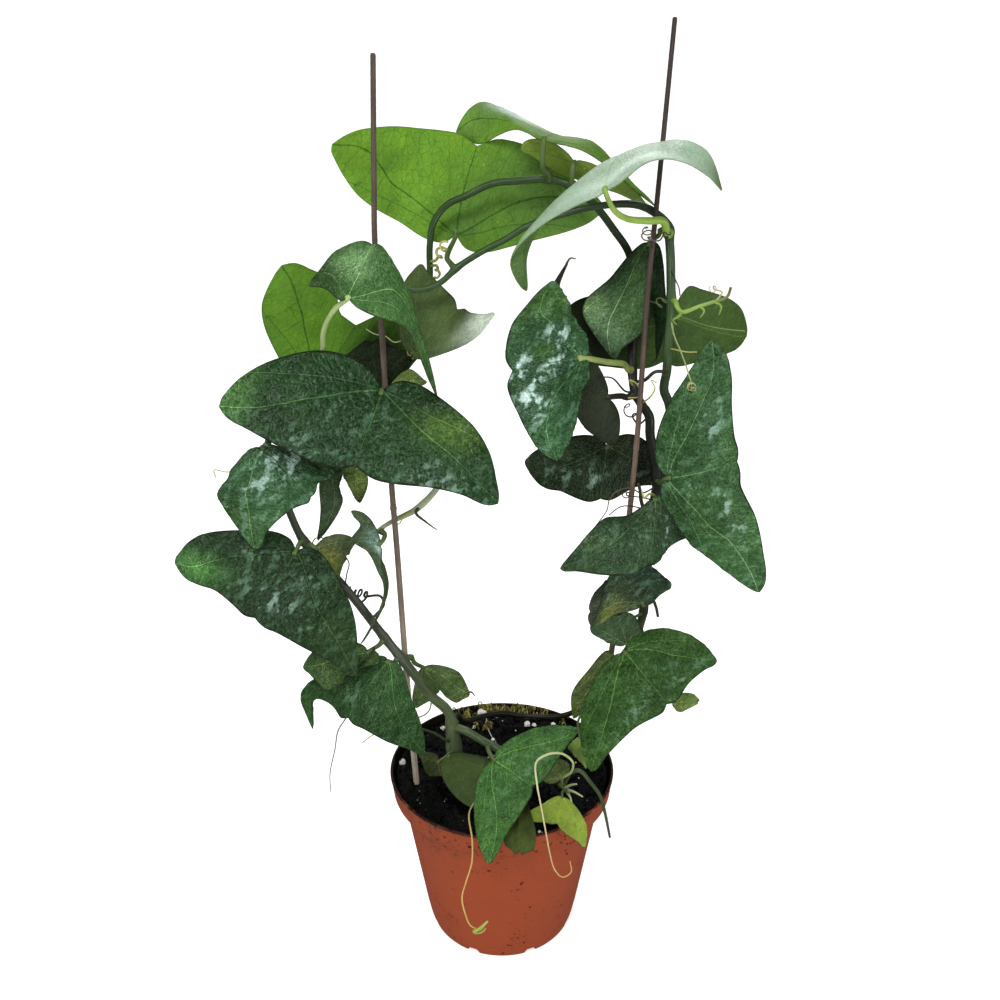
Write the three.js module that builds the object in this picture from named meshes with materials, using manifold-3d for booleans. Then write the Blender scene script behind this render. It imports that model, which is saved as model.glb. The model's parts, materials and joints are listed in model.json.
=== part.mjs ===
import * as THREE from "three";
import { mergeVertices } from "three/addons/utils/BufferGeometryUtils.js";
import Module from "manifold-3d";

// A potted climbing vine with two-lobed leaves on two stakes.
// Millimetres, +Z up, +X right, +Y away from the front. The origin is the centre of the pot's foot.

const wasm = await Module();
wasm.setup();

const pot = {
  height: 95,
  rimRadius: 60,
  collarRadius: 58.4,
  collarHeight: 12,
  bodyRadius: 53.4,
  heelRadius: 42.4,
  heelHeight: 14,
  footRadius: 39.4,
  wall: 1.5,
  floor: 2.4,
  sides: 36,
  notches: 8,
  notchWidth: 5,
  notchHeight: 3,
};
const soil = { top: 91.5, lump: 1.1, clearance: 0.35, rings: 4, hole: 0.35 };
const stake = { footRadius: 1.6, leftTopRadius: 1.4, rightTopRadius: 1, sides: 8 };
const crownRadius = 4.8;
const tendrilRadius = 0.45;
const petioleRadius = 1.05;
const bladeThickness = 0.7;
const rootGap = 0.4;

// The eye that the plant's marks were sighted from, and its picture: 1000 pixels wide and high.
const eye = { x: -1, y: -434, z: 407, pitch: THREE.MathUtils.degToRad(20.3), focal: 954, centre: 500 };

// The point at depth y on the line of sight through a pixel column and row.
function seen([column, row, y]) {
  const right = (column - eye.centre) / eye.focal;
  const up = (eye.centre - row) / eye.focal;
  const ray = new THREE.Vector3(
    right,
    Math.cos(eye.pitch) + up * Math.sin(eye.pitch),
    up * Math.cos(eye.pitch) - Math.sin(eye.pitch),
  );
  return new THREE.Vector3(eye.x, eye.y, eye.z).addScaledVector(ray, (y - eye.y) / ray.y);
}

// The point at height z on the same line of sight.
function level(column, row, z) {
  const near = seen([column, row, eye.y + 1]);
  const from = new THREE.Vector3(eye.x, eye.y, eye.z);
  const ray = near.sub(from);
  return from.addScaledVector(ray, (z - eye.z) / ray.z);
}

function solid(geometry) {
  const bare = new THREE.BufferGeometry();
  bare.setAttribute("position", geometry.getAttribute("position").clone());
  if (geometry.index) bare.setIndex(geometry.index.clone());
  const merged = mergeVertices(bare, 1e-4);
  const index = merged.index.array;
  const kept = [];
  for (let i = 0; i < index.length; i += 3) {
    const [a, b, c] = [index[i], index[i + 1], index[i + 2]];
    if (a !== b && b !== c && a !== c) kept.push(a, b, c);
  }
  const made = new wasm.Manifold(
    new wasm.Mesh({
      numProp: 3,
      vertProperties: new Float32Array(merged.attributes.position.array),
      triVerts: new Uint32Array(kept),
    }),
  );
  if (made.volume() > 0) return made;
  for (let i = 0; i < kept.length; i += 3) [kept[i + 1], kept[i + 2]] = [kept[i + 2], kept[i + 1]];
  return new wasm.Manifold(
    new wasm.Mesh({
      numProp: 3,
      vertProperties: new Float32Array(merged.attributes.position.array),
      triVerts: new Uint32Array(kept),
    }),
  );
}

// Joins solids and keeps the largest body, so that no loose scrap of a union stays.
function join(pieces) {
  const whole = pieces.reduce((sum, piece) => sum.add(piece));
  return whole.decompose().reduce((most, body) => (body.volume() > most.volume() ? body : most));
}

const plant = new THREE.Group();
plant.name = "potted_passiflora_misera";

function show(name, body, colour, roughness) {
  const { vertProperties, triVerts } = body.getMesh();
  const geometry = new THREE.BufferGeometry();
  geometry.setAttribute("position", new THREE.BufferAttribute(vertProperties, 3));
  geometry.setIndex(new THREE.BufferAttribute(triVerts, 1));
  geometry.computeVertexNormals();
  const material = new THREE.MeshStandardMaterial({ color: colour, roughness, metalness: 0 });
  const mesh = new THREE.Mesh(geometry, material);
  mesh.name = name;
  plant.add(mesh);
}

// A round stalk along a curve whose radius runs evenly from one end to the other.
// The radius at a share of a stalk's length, from marks of [share, radius].
function radiusAt(widths, share) {
  const k = Math.max(1, widths.findIndex(([mark]) => mark >= share));
  const [[fromShare, from], [toShare, to]] = [widths[k - 1], widths[k]];
  return THREE.MathUtils.mapLinear(share, fromShare, toShare, from, to);
}

function stalk(points, widths, sides, steps) {
  const path = new THREE.CatmullRomCurve3(points, false, "centripetal");
  const section = new THREE.Shape();
  for (let i = 0; i < sides; i += 1) {
    const angle = (i / sides) * Math.PI * 2;
    const [x, y] = [Math.cos(angle), Math.sin(angle)];
    if (i === 0) section.moveTo(x, y);
    else section.lineTo(x, y);
  }
  const geometry = new THREE.ExtrudeGeometry(section, { steps, bevelEnabled: false, extrudePath: path });
  const rings = path.getSpacedPoints(steps);
  const position = geometry.getAttribute("position");
  const spot = new THREE.Vector3();
  for (let i = 0; i < position.count; i += 1) {
    spot.fromBufferAttribute(position, i);
    const near = rings.reduce(
      (best, ring, k) => {
        const away = Math.abs(ring.distanceTo(spot) - 1);
        return away < best.away ? { k, away } : best;
      },
      { k: 0, away: Infinity },
    );
    const radius = radiusAt(widths, near.k / steps);
    spot.sub(rings[near.k]).multiplyScalar(radius).add(rings[near.k]);
    position.setXYZ(i, spot.x, spot.y, spot.z);
  }
  return solid(geometry);
}

const taper = (start, end) => [[0, start], [1, end]];

function tendril(marks, steps) {
  return stalk(marks.map(seen), taper(tendrilRadius, tendrilRadius * 0.8), 4, steps);
}

// The flat pattern of a leaf, one unit from the petiole to a lobe's tip, with the notch at the top.
const basalMargin = new THREE.SplineCurve(
  [
    [0, 0],
    [0.1, -0.09],
    [0.27, -0.12],
    [0.46, -0.07],
    [0.68, 0.07],
    [0.82, 0.22],
    [0.895, 0.37],
    [0.905, 0.44],
  ].map(([x, y]) => new THREE.Vector2(x, y)),
);
const apicalMargin = new THREE.SplineCurve(
  [
    [0, 0.49],
    [0.13, 0.53],
    [0.27, 0.52],
    [0.49, 0.48],
    [0.72, 0.455],
    [0.85, 0.463],
    [0.905, 0.44],
  ].map(([x, y]) => new THREE.Vector2(x, y)),
);
const spots = {
  base: [0, 0],
  mid: [0, 0.25],
  notch: [0, 0.49],
  Tip: [0.905, 0.44],
  Shoulder: [0.42, -0.085],
  End: [0.82, 0.22],
  Edge: [0.8, 0.46],
  Belly: [0.49, 0.48],
  Brow: [0.2, 0.525],
  Neck: [0.2, -0.11],
  Vein: [0.45, 0.2],
};

function spotOf(mark) {
  if (mark in spots) return spots[mark];
  const side = mark.startsWith("left") ? -1 : 1;
  const [x, y] = spots[mark.replace(/^(left|right)/, "")];
  return [side * x, y];
}

function solve(matrix, answers) {
  const n = matrix.length;
  for (let i = 0; i < n; i += 1) {
    let pivot = i;
    for (let r = i + 1; r < n; r += 1) {
      if (Math.abs(matrix[r][i]) > Math.abs(matrix[pivot][i])) pivot = r;
    }
    [matrix[i], matrix[pivot]] = [matrix[pivot], matrix[i]];
    [answers[i], answers[pivot]] = [answers[pivot], answers[i]];
    for (let r = 0; r < n; r += 1) {
      if (r === i) continue;
      const share = matrix[r][i] / matrix[i][i];
      for (let c = i; c < n; c += 1) matrix[r][c] -= share * matrix[i][c];
      for (let c = 0; c < 3; c += 1) answers[r][c] -= share * answers[i][c];
    }
  }
  return answers.map((row, i) => row.map((value) => value / matrix[i][i]));
}

const bend = (x, y) => {
  const square = x * x + y * y;
  return square > 0 ? 0.5 * square * Math.log(square) : 0;
};

// The smoothest plate that carries the flat pattern's named spots onto a leaf's sighted marks.
function plateThrough(marks) {
  const from = Object.keys(marks).map(spotOf);
  const to = Object.values(marks).map((mark) => seen(mark).toArray());
  const rows = from.map(([x, y]) => [...from.map(([u, v]) => bend(x - u, y - v)), 1, x, y]);
  const sums = [0, 1, 2].map((k) => [...from.map((spot) => [1, ...spot][k]), 0, 0, 0]);
  const weights = solve([...rows, ...sums], [...to, [0, 0, 0], [0, 0, 0], [0, 0, 0]]);
  return (x, y) => {
    const terms = [...from.map(([u, v]) => bend(x - u, y - v)), 1, x, y];
    const along = (axis) => terms.reduce((total, term, i) => total + term * weights[i][axis], 0);
    const sum = [0, 1, 2].map(along);
    return new THREE.Vector3(...sum);
  };
}

// A thin closed blade: the pattern's grid carried by the plate, with one face half a thickness either way.
function blade(marks, [stations, rows]) {
  const plate = plateThrough(marks);
  const grid = new THREE.PlaneGeometry(2, 1, stations, rows);
  const flat = grid.getAttribute("position");
  const count = flat.count;
  const corners = [];
  for (let i = 0; i < count; i += 1) {
    const along = flat.getX(i);
    const across = THREE.MathUtils.clamp(flat.getY(i) + 0.5, 0, 1);
    const reach = 1 - (1 - Math.abs(along)) ** 1.35;
    const low = basalMargin.getPointAt(Math.min(reach, 1));
    const high = apicalMargin.getPointAt(Math.min(reach, 1));
    const spot = low.lerp(high, across);
    spot.x *= Math.sign(along) || 1;
    const centre = plate(spot.x, spot.y);
    const dx = plate(spot.x + 0.01, spot.y).sub(plate(spot.x - 0.01, spot.y));
    const dy = plate(spot.x, spot.y + 0.01).sub(plate(spot.x, spot.y - 0.01));
    const normal = dx.cross(dy).normalize();
    corners.push([centre, normal]);
  }
  const half = bladeThickness / 2;
  const positions = [half, -half].flatMap((offset) =>
    corners.flatMap(([centre, normal]) => centre.clone().addScaledVector(normal, offset).toArray()),
  );
  const index = [];
  const faces = grid.index.array;
  for (let i = 0; i < faces.length; i += 3) {
    const [a, b, c] = [faces[i], faces[i + 1], faces[i + 2]];
    index.push(a, b, c, c + count, b + count, a + count);
  }
  const width = stations + 1;
  const rim = [];
  for (let i = 0; i < stations; i += 1) rim.push(i);
  for (let j = 0; j < rows; j += 1) rim.push(stations + j * width);
  for (let i = stations; i > 0; i -= 1) rim.push(rows * width + i);
  for (let j = rows; j > 0; j -= 1) rim.push(j * width);
  rim.forEach((a, k) => {
    const b = rim[(k + 1) % rim.length];
    index.push(a, b, b + count, a, b + count, a + count);
  });
  const geometry = new THREE.BufferGeometry();
  geometry.setAttribute("position", new THREE.Float32BufferAttribute(positions, 3));
  geometry.setIndex(index);
  return solid(geometry);
}

const colours = {
  pot: 0xa8563a,
  soil: 0x1c1714,
  stakeLeft: 0x8f7a68,
  stakeRight: 0x5d504a,
  vine: 0x2c3a22,
  shoot: 0x6d8a3c,
  leafDark: 0x2f5230,
  leafGreen: 0x4f7a35,
  leafLight: 0x7ba83a,
};

// The pot: a lathe-turned wall with a stepped collar, closed by its floor, and notches cut round the foot.
const collarBottom = pot.height - pot.collarHeight;
const bodyTop = collarBottom - 2.5;

function potBody() {
  const profile = [
    [0, 0],
    [pot.footRadius - 0.7, 0],
    [pot.footRadius, 1],
    [pot.footRadius + 1.3, 5.5],
    [pot.heelRadius, pot.heelHeight],
    [pot.bodyRadius, bodyTop],
    [pot.collarRadius - 0.4, collarBottom],
    [pot.collarRadius, collarBottom + 1.2],
    [pot.rimRadius - 0.4, pot.height - 1.6],
    [pot.rimRadius, pot.height - 0.8],
    [pot.rimRadius - 0.4, pot.height],
    [pot.rimRadius - pot.wall, pot.height],
    [pot.collarRadius - pot.wall, collarBottom + 2.2],
    [pot.collarRadius - pot.wall - 0.6, collarBottom + 1.4],
    [pot.bodyRadius - pot.wall, bodyTop + 1.2],
    [pot.heelRadius - pot.wall, pot.heelHeight],
    [pot.footRadius - pot.wall, pot.floor],
    [0, pot.floor],
  ];
  const points = profile.map(([r, z]) => new THREE.Vector2(r, z));
  const cup = solid(new THREE.LatheGeometry(points, pot.sides).rotateX(Math.PI / 2));
  let body = cup;
  for (let i = 0; i < pot.notches; i += 1) {
    const angle = ((i + 0.5) / pot.notches) * Math.PI * 2;
    const cutter = new THREE.BoxGeometry(8, pot.notchWidth, pot.notchHeight * 2);
    cutter.translate(pot.footRadius, 0, 0).rotateZ(angle);
    body = body.subtract(solid(cutter));
  }
  return body;
}

// The route of each stem, sighted from the eye, from its root to its tip.
const crown = level(455, 757, soil.top);
const down = (point, depth) => new THREE.Vector3(point.x, point.y, point.z - depth);

function stakeAt(foot, buried, marks) {
  const route = marks.map(seen);
  const lean = route[0].clone().sub(foot).normalize();
  return { foot, lean, route: [foot.clone().addScaledVector(lean, -buried), foot, ...route] };
}

const stakes = {
  left: stakeAt(level(416.6, 783, soil.top), 22, [
    [406.5, 673, -12.2],
    [396.6, 544, -11.2],
    [392, 490, -10.8],
    [385, 384, -9.6],
    [382, 335, -9],
    [375, 245, -8],
    [374, 180, -7],
    [373, 53, -5],
  ]),
  right: stakeAt(level(590, 756, soil.top), 12, [
    [613, 642, -1],
    [630, 508, -6],
    [637.3, 435, -8],
    [643, 358, -8],
    [647, 300, -7.5],
    [656.6, 205, -6],
    [663, 140, -5],
    [675, 17, -4],
  ]),
};

const routes = {
  stake_left: stakes.left.route,
  stake_right: stakes.right.route,
  vine_left: [
    down(crown, 18),
    down(crown, 6),
    ...[
      [453, 735, 8],
      [449, 713, 5],
      [430, 695, -4],
      [415, 675, -13.8],
      [403, 660, -18.2],
      [385, 638, -18.6],
      [353, 597, -20],
      [325, 565, -21],
      [302, 538, -20],
      [291, 515, -18],
      [284, 495, -16],
      [272, 460, -12],
      [268, 443, -10],
      [280, 420, -6],
      [310, 404, -3],
    ].map(seen),
  ],
};

// Each stem's width: its radius at marks along its length.
const radii = {
  stake_left: [[0, stake.footRadius], [1, stake.leftTopRadius]],
  stake_right: [[0, stake.footRadius], [1, stake.rightTopRadius]],
  vine_left: [[0, 4.2], [0.06, 4.6], [0.12, 4.2], [0.19, 2.6], [0.5, 2.1], [1, 1.4]],
  vine_arch: [[0, 1.6], [0.16, 1.5], [0.3, 2], [0.5, 2.2], [0.66, 1.7], [1, 1.25]],
  vine_outer: [[0, 1.7], [0.15, 2.1], [0.45, 1.9], [0.6, 1.5], [1, 1.25]],
  shoot_front: [[0, 2.4], [0.5, 2], [1, 1]],
  shoot_left: [[0, 1.1], [0.5, 1.2], [0.75, 1.7], [1, 0.9]],
  shoot_right: [[0, 0.9], [1, 0.6]],
};

const sampled = {};
function samplesOf(stem) {
  sampled[stem] ??= new THREE.CatmullRomCurve3(routes[stem], false, "centripetal").getSpacedPoints(600);
  return sampled[stem];
}

// A side growth's first two points: just outside the stem, on the side that the growth leaves by.
function rootOn(stem, mark, towards) {
  const at = seen(mark);
  const list = samplesOf(stem);
  const away = list.map((point) => point.distanceTo(at));
  const k = away.indexOf(Math.min(...away));
  const centre = list[k];
  const tangent = list[Math.min(k + 1, 600)].clone().sub(list[Math.max(k - 1, 0)]).normalize();
  const out = towards.clone().sub(centre);
  out.addScaledVector(tangent, -out.dot(tangent)).normalize();
  const radius = radiusAt(radii[stem], k / 600);
  return [
    centre.clone().addScaledVector(out, radius + rootGap),
    centre.clone().addScaledVector(out, radius + rootGap + 2.2),
  ];
}

function branchFrom(stem, mark, marks) {
  const route = marks.map(seen);
  return [...rootOn(stem, mark, route[0]), ...route];
}

routes.vine_arch = branchFrom("vine_left", [451, 722, 6], [
  [464, 721, 18],
  [484, 716, 30],
  [499, 713, 37],
  [527, 716, 42],
  [560, 716, 38],
  [585, 706, 27],
  [604, 688, 17],
  [625, 655, 8],
  [640, 625, 3],
  [645, 600, 1],
  [648, 560, 0],
  [652, 520, -1],
  [657, 478, -1],
  [653, 454, -1],
  [650, 435, -1],
  [649, 416, 0],
  [641, 404, 1],
  [635, 392, 2],
  [632, 368, 6],
  [633, 330, 9],
  [634, 290, 9],
  [629, 254, 7],
  [613, 229, 4],
  [597, 208, 3],
  [578, 190, 4],
  [553, 180, 5],
  [520, 181, 6],
  [492, 184, 6],
  [466, 196, 5],
  [447, 205, 5],
  [434, 222, 5],
  [430, 245, 5],
  [430, 280, 5],
  [426, 335, 5],
  [412, 361, 4],
  [392, 378, 3],
  [365, 392, 2],
]);
routes.vine_outer = branchFrom("vine_arch", [660, 474, -1], [
  [669, 450, 3],
  [671, 425, 3],
  [669, 404, 2],
  [664, 390, 1],
  [667, 370, 0],
  [668, 348, -1],
  [671, 314, -2],
  [671, 281, -2],
  [670, 247, -2],
  [667, 225, -2.5],
  [655, 213, -3],
  [637, 205, -3],
  [600, 206, -3],
  [560, 215, -3],
  [526, 227, -4],
  [508, 238, -5],
  [480, 253, -7],
  [457, 268, -9],
  [440, 283, -10],
  [421, 290, -11],
  [398, 288, -12],
]);
routes.shoot_front = branchFrom("vine_left", [453, 728, 6], [
  [466, 731, 3],
  [481, 740, 0],
  [496, 748, -5],
  [520, 760, -10],
  [545, 772, -15],
  [562, 786, -22],
  [570, 793, -26],
]);
routes.shoot_left = branchFrom("vine_arch", [405, 368, 4], [
  [412, 380, 4],
  [432, 400, 1],
  [446, 440, -3],
  [444, 475, -4],
  [434, 492, -5],
  [415, 510, -6],
  [397, 519, -6],
  [386, 525, -9],
  [377, 532, -13],
]);
routes.shoot_right = branchFrom("vine_outer", [671, 300, -2], [
  [677, 307, -8],
  [682, 312, -10],
  [700, 306, -10],
  [716, 301, -10],
  [727, 297, -10],
  [731, 287, -10],
]);

function leafBody(leaf) {
  const base = seen(leaf.marks.base);
  const knees = (leaf.knees ?? []).map(seen);
  const [root, collar] = rootOn(leaf.stem, leaf.root, knees[0] ?? base);
  const plate = plateThrough(leaf.marks);
  const inward = plate(0, 0.035);
  const points = [root, collar, ...knees, base, inward];
  const length = points.slice(1).reduce((sum, point, i) => sum + point.distanceTo(points[i]), 0);
  const steps = Math.max(3, Math.min(9, Math.round(length / 7)));
  const thick = leaf.petiole ?? petioleRadius;
  const petiole = stalk(points, taper(thick, thick * 0.8), 5, steps);
  const pieces = [blade(leaf.marks, leaf.grain ?? [10, 3]), petiole];
  return join([...pieces, ...(leaf.tendrils ?? []).map(([marks, count]) => tendril(marks, count))]);
}

const leaves = {
  leaf_crest_broad: {
    stem: "vine_outer",
    root: [455, 269, -9],
    knees: [[447, 258, -4]],
    colour: colours.leafLight,
    grain: [12, 3],
    marks: {
      base: [456, 235, 11],
      notch: [477, 146, 20],
      leftTip: [332, 144, 8],
      rightTip: [604, 206, 14],
      leftShoulder: [400, 222, 10],
      leftEnd: [344, 177, 8],
      leftBelly: [410, 127, 16],
      leftVein: [392, 183, 13],
      rightShoulder: [505, 248, 12],
      rightEnd: [583, 226, 14],
      rightBelly: [540, 152, 18],
      leftEdge: [362, 129, 11],
    },
  },
  leaf_crest_back: {
    stem: "vine_arch",
    root: [549, 181, 5],
    knees: [[543, 168, -3]],
    colour: colours.leafLight,
    marks: {
      base: [544, 139, -4],
      notch: [557, 134, 20],
      leftTip: [456, 132, 26],
      rightTip: [655, 206, 6],
      leftShoulder: [515, 130, 9],
      leftEnd: [477, 144, 22],
      leftEdge: [468, 109, 28],
      leftBelly: [492, 105, 26],
      rightShoulder: [585, 153, 2],
      rightBelly: [603, 150, 14],
      leftBrow: [529, 120, 24],
      rightBrow: [580, 139, 17],
    },
  },
  leaf_crest_edge: {
    stem: "vine_arch",
    root: [570, 187, 4],
    knees: [
      [572, 178, -4],
      [573, 166, -5],
    ],
    colour: colours.leafGreen,
    grain: [10, 2],
    marks: {
      base: [574, 162, 0],
      notch: [577, 180, 12],
      leftTip: [521, 150, 7],
      rightTip: [648, 208, 6],
      leftShoulder: [548, 140, 2],
      leftBelly: [546, 165, 10],
      rightShoulder: [603, 168, -1],
      rightBelly: [608, 190, 9],
    },
  },
  leaf_crest_long: {
    stem: "vine_outer",
    root: [669, 232, -2],
    knees: [
      [664, 222, -8.5],
      [648, 221, -12],
      [628, 219, -20],
      [614, 210, -28],
    ],
    colour: colours.leafGreen,
    marks: {
      base: [605, 190, -34],
      notch: [618, 155, -14],
      leftTip: [527, 291, -30],
      rightTip: [722, 190, -26],
      leftShoulder: [574, 208, -36],
      leftBelly: [560, 199, -18],
      leftEnd: [510, 261, -32],
      leftEdge: [527, 262, -24],
      rightShoulder: [649, 162, -36],
      rightBelly: [662, 143, -14],
      rightEnd: [708, 176, -32],
      rightEdge: [712, 156, -18],
    },
  },
  leaf_left_backlit: {
    stem: "vine_left",
    root: [308, 405, -3],
    knees: [[315, 395, 4]],
    colour: colours.leafLight,
    marks: {
      base: [322, 380, 8],
      notch: [356, 325, 14],
      leftTip: [282, 265, 16],
      rightTip: [426, 335, 12],
      leftShoulder: [285, 368, 9],
      leftEnd: [262, 304, 14],
      leftBelly: [334, 284, 15],
      rightShoulder: [365, 378, 9],
      rightEnd: [412, 362, 11],
      rightBelly: [385, 311, 14],
      leftBrow: [341, 315, 14.5],
      rightBrow: [376, 316, 14],
      leftEdge: [303, 265, 15.5],
    },
  },
  leaf_left_drooping: {
    stem: "vine_left",
    root: [300, 410, -4],
    knees: [
      [321, 360, -9],
      [324, 330, -18],
      [335, 309, -26],
    ],
    colour: colours.leafDark,
    grain: [12, 3],
    marks: {
      base: [348, 298, -30],
      notch: [372, 244, -14],
      leftTip: [310, 281, -34],
      rightTip: [437, 396, -28],
      leftShoulder: [328, 291, -34],
      leftBelly: [332, 254, -20],
      rightShoulder: [392, 322, -34],
      rightEnd: [420, 356, -32],
      rightEdge: [424, 340, -24],
      rightBelly: [398, 272, -18],
      mid: [358, 276, -27],
    },
  },
  leaf_left_shaded: {
    stem: "vine_arch",
    root: [418, 352, 4],
    colour: colours.leafDark,
    marks: {
      base: [412, 352, -5],
      notch: [457, 309, -1],
      leftTip: [420, 264, -4],
      rightTip: [495, 314, 8],
      leftShoulder: [398, 312, -6],
      leftBelly: [436, 280, -2],
      rightShoulder: [440, 355, -4],
      rightEnd: [480, 334, 6],
      rightBelly: [473, 313, 4],
    },
  },
  leaf_left_broad: {
    stem: "vine_arch",
    root: [362, 392, 2],
    knees: [[368, 400, -6]],
    colour: colours.leafDark,
    grain: [12, 3],
    marks: {
      base: [382, 390, -18],
      notch: [355, 466, -44],
      leftTip: [219, 407, -34],
      rightTip: [498, 504, -44],
      leftShoulder: [318, 351, -16],
      leftEnd: [242, 376, -26],
      leftBelly: [286, 450, -43],
      leftVein: [302, 400, -32],
      rightShoulder: [436, 395, -24],
      rightEnd: [490, 453, -36],
      rightBelly: [430, 488, -50],
      rightVein: [432, 440, -38],
      leftEdge: [236, 424, -38],
      rightEdge: [475, 501, -48],
    },
  },
  leaf_left_dark: {
    stem: "vine_arch",
    root: [388, 381, 3],
    knees: [[386, 388, -2]],
    colour: colours.leafDark,
    grain: [8, 3],
    marks: {
      base: [378, 392, -4],
      notch: [372, 342, -3],
      leftTip: [336, 362, -3],
      rightTip: [411, 353, -1],
      rightShoulder: [395, 384, -3],
      leftShoulder: [358, 388, -4],
    },
  },
  leaf_left_lobed: {
    stem: "shoot_left",
    root: [418, 386, 4],
    colour: colours.leafGreen,
    grain: [8, 3],
    marks: {
      base: [396, 392, -4],
      notch: [405, 371, -3],
      leftTip: [374, 404, -6],
      rightTip: [427, 382, -4],
      rightShoulder: [412, 388, -5],
      leftShoulder: [384, 406, -7],
    },
  },
  leaf_left_shiny: {
    stem: "vine_left",
    root: [270, 453, -11],
    colour: colours.leafDark,
    grain: [12, 3],
    marks: {
      base: [262, 447, -22],
      notch: [311, 497, -32],
      leftTip: [255, 549, -38],
      rightTip: [343, 469, -20],
      leftShoulder: [226, 480, -28],
      leftEnd: [226, 511, -32],
      leftBelly: [287, 513, -36],
      leftVein: [246, 492, -36],
      rightShoulder: [298, 459, -21],
      rightBelly: [328, 480, -28],
      leftBrow: [303, 504.5, -34],
      rightBrow: [317, 485, -28],
    },
  },
  leaf_left_wide: {
    stem: "vine_left",
    root: [303, 540, -20],
    colour: colours.leafDark,
    grain: [12, 3],
    marks: {
      base: [296, 551, -29],
      notch: [255, 618, -46],
      leftTip: [175, 563, -36],
      rightTip: [356, 676, -46],
      leftShoulder: [245, 530, -26],
      leftEnd: [190, 541, -33],
      leftBelly: [213, 590, -44],
      leftVein: [232, 557, -38],
      rightShoulder: [334, 570, -33],
      rightEnd: [356, 628, -40],
      rightBelly: [300, 646, -52],
      rightVein: [316, 606, -46],
      leftBrow: [238, 609, -46],
      rightBrow: [273, 631, -50],
      leftEdge: [188, 580, -41],
    },
  },
  leaf_left_tucked: {
    stem: "vine_left",
    root: [385, 638, -18],
    colour: colours.leafGreen,
    grain: [10, 3],
    marks: {
      base: [368, 652, -28],
      notch: [335, 687, -43],
      leftTip: [303, 667, -45],
      rightTip: [377, 664, -32],
      leftShoulder: [335, 640, -34],
      leftBelly: [318, 684, -45],
      rightShoulder: [375, 650, -27],
      rightBelly: [358, 670, -37],
    },
  },
  leaf_left_low: {
    stem: "vine_left",
    root: [398, 655, -17],
    colour: colours.leafDark,
    grain: [12, 3],
    marks: {
      base: [388, 661, -23],
      notch: [348, 718, -44],
      leftTip: [313, 729, -38],
      rightTip: [424, 754, -34],
      rightShoulder: [409, 690, -28],
      rightEnd: [422, 728, -31],
      rightBelly: [385, 741, -42],
      leftShoulder: [344, 666, -29],
      leftEnd: [301, 699, -36],
      leftEdge: [313, 708, -38],
      leftBelly: [328, 703, -40],
      rightBrow: [360, 727, -44],
    },
  },
  leaf_left_small: {
    stem: "vine_left",
    root: [404, 661, -16],
    knees: [[414, 662, -14]],
    colour: colours.leafGreen,
    grain: [10, 3],
    marks: {
      base: [424, 668, -5],
      notch: [440, 690, -0.5],
      leftTip: [416, 708, 8],
      rightTip: [470, 694, -4],
      leftShoulder: [414, 686, 7],
      leftBelly: [432, 699, 6],
      rightShoulder: [448, 667, -6],
      rightEnd: [464, 679, -6],
      rightBelly: [457, 703, -2],
    },
  },
  leaf_left_strap: {
    stem: "vine_left",
    root: [312, 403, -3],
    knees: [[330, 418, -8]],
    colour: colours.leafDark,
    grain: [12, 3],
    marks: {
      base: [345, 434, -12],
      notch: [342, 474, -10],
      leftTip: [318, 541, -16],
      rightTip: [360, 503, -12],
      leftShoulder: [321, 478, -17],
      leftEnd: [320, 512, -18],
      leftBelly: [340, 492, -12],
      leftEdge: [336, 517, -14],
      rightShoulder: [366, 472, -12],
      rightBelly: [348, 486, -9],
    },
  },
  leaf_left_folded: {
    stem: "shoot_left",
    root: [380, 530, -12],
    colour: colours.leafDark,
    grain: [14, 3],
    marks: {
      base: [380, 544, -18],
      notch: [354, 542, -9],
      leftTip: [351, 511, -10],
      rightTip: [361, 644, -27],
      leftShoulder: [373, 524, -16],
      leftBelly: [360, 525, -10],
      rightShoulder: [381, 567, -22],
      rightBelly: [377, 571, -14],
      rightEnd: [383, 609, -26],
      rightEdge: [379, 612, -21],
      rightBrow: [366, 550, -10],
    },
  },
  leaf_left_olive: {
    stem: "vine_left",
    root: [309, 545, -20.5],
    colour: colours.leafGreen,
    grain: [10, 3],
    marks: {
      base: [316, 549, -25],
      notch: [346, 556, -19],
      rightTip: [357, 540, -15],
      leftTip: [338, 580, -26],
      rightShoulder: [332, 535, -20],
      rightBelly: [352, 549, -15],
      leftShoulder: [320, 563, -27],
      leftBelly: [343, 566, -21],
    },
  },
  leaf_right_blistered: {
    stem: "vine_arch",
    root: [633, 370, 6],
    knees: [
      [625, 365, 0],
      [606, 362, -14],
    ],
    colour: colours.leafDark,
    grain: [12, 3],
    marks: {
      base: [582, 358, -28],
      notch: [512, 371, -52],
      leftTip: [551, 281, -33],
      rightTip: [557, 461, -53],
      leftShoulder: [577, 322, -26],
      leftEnd: [563, 293, -31],
      leftBelly: [511, 327, -49],
      leftEdge: [531, 299, -42],
      leftVein: [550, 322, -43],
      rightShoulder: [583, 393, -33],
      rightEnd: [571, 436, -44],
      rightBelly: [518, 414, -58],
      rightEdge: [536, 446, -57],
      rightVein: [553, 400, -52],
    },
  },
  leaf_right_brown: {
    stem: "vine_arch",
    root: [635, 394, 2],
    knees: [[622, 396, 0]],
    petiole: 0.9,
    colour: colours.leafDark,
    marks: {
      base: [608, 397, -6],
      notch: [570, 392, -18],
      leftTip: [568, 261, -20],
      rightTip: [608, 444, -12],
      leftShoulder: [588, 350, -8],
      leftEnd: [560, 288, -18],
      leftEdge: [553.5, 283, -22],
      leftBelly: [556, 330, -22],
      rightShoulder: [620, 424, -7],
      rightBelly: [586, 430, -14],
    },
  },
  leaf_right_cupped: {
    stem: "vine_outer",
    root: [668, 229, -2],
    knees: [[660, 234, 1]],
    colour: colours.leafDark,
    marks: {
      base: [649, 243, 1],
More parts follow.
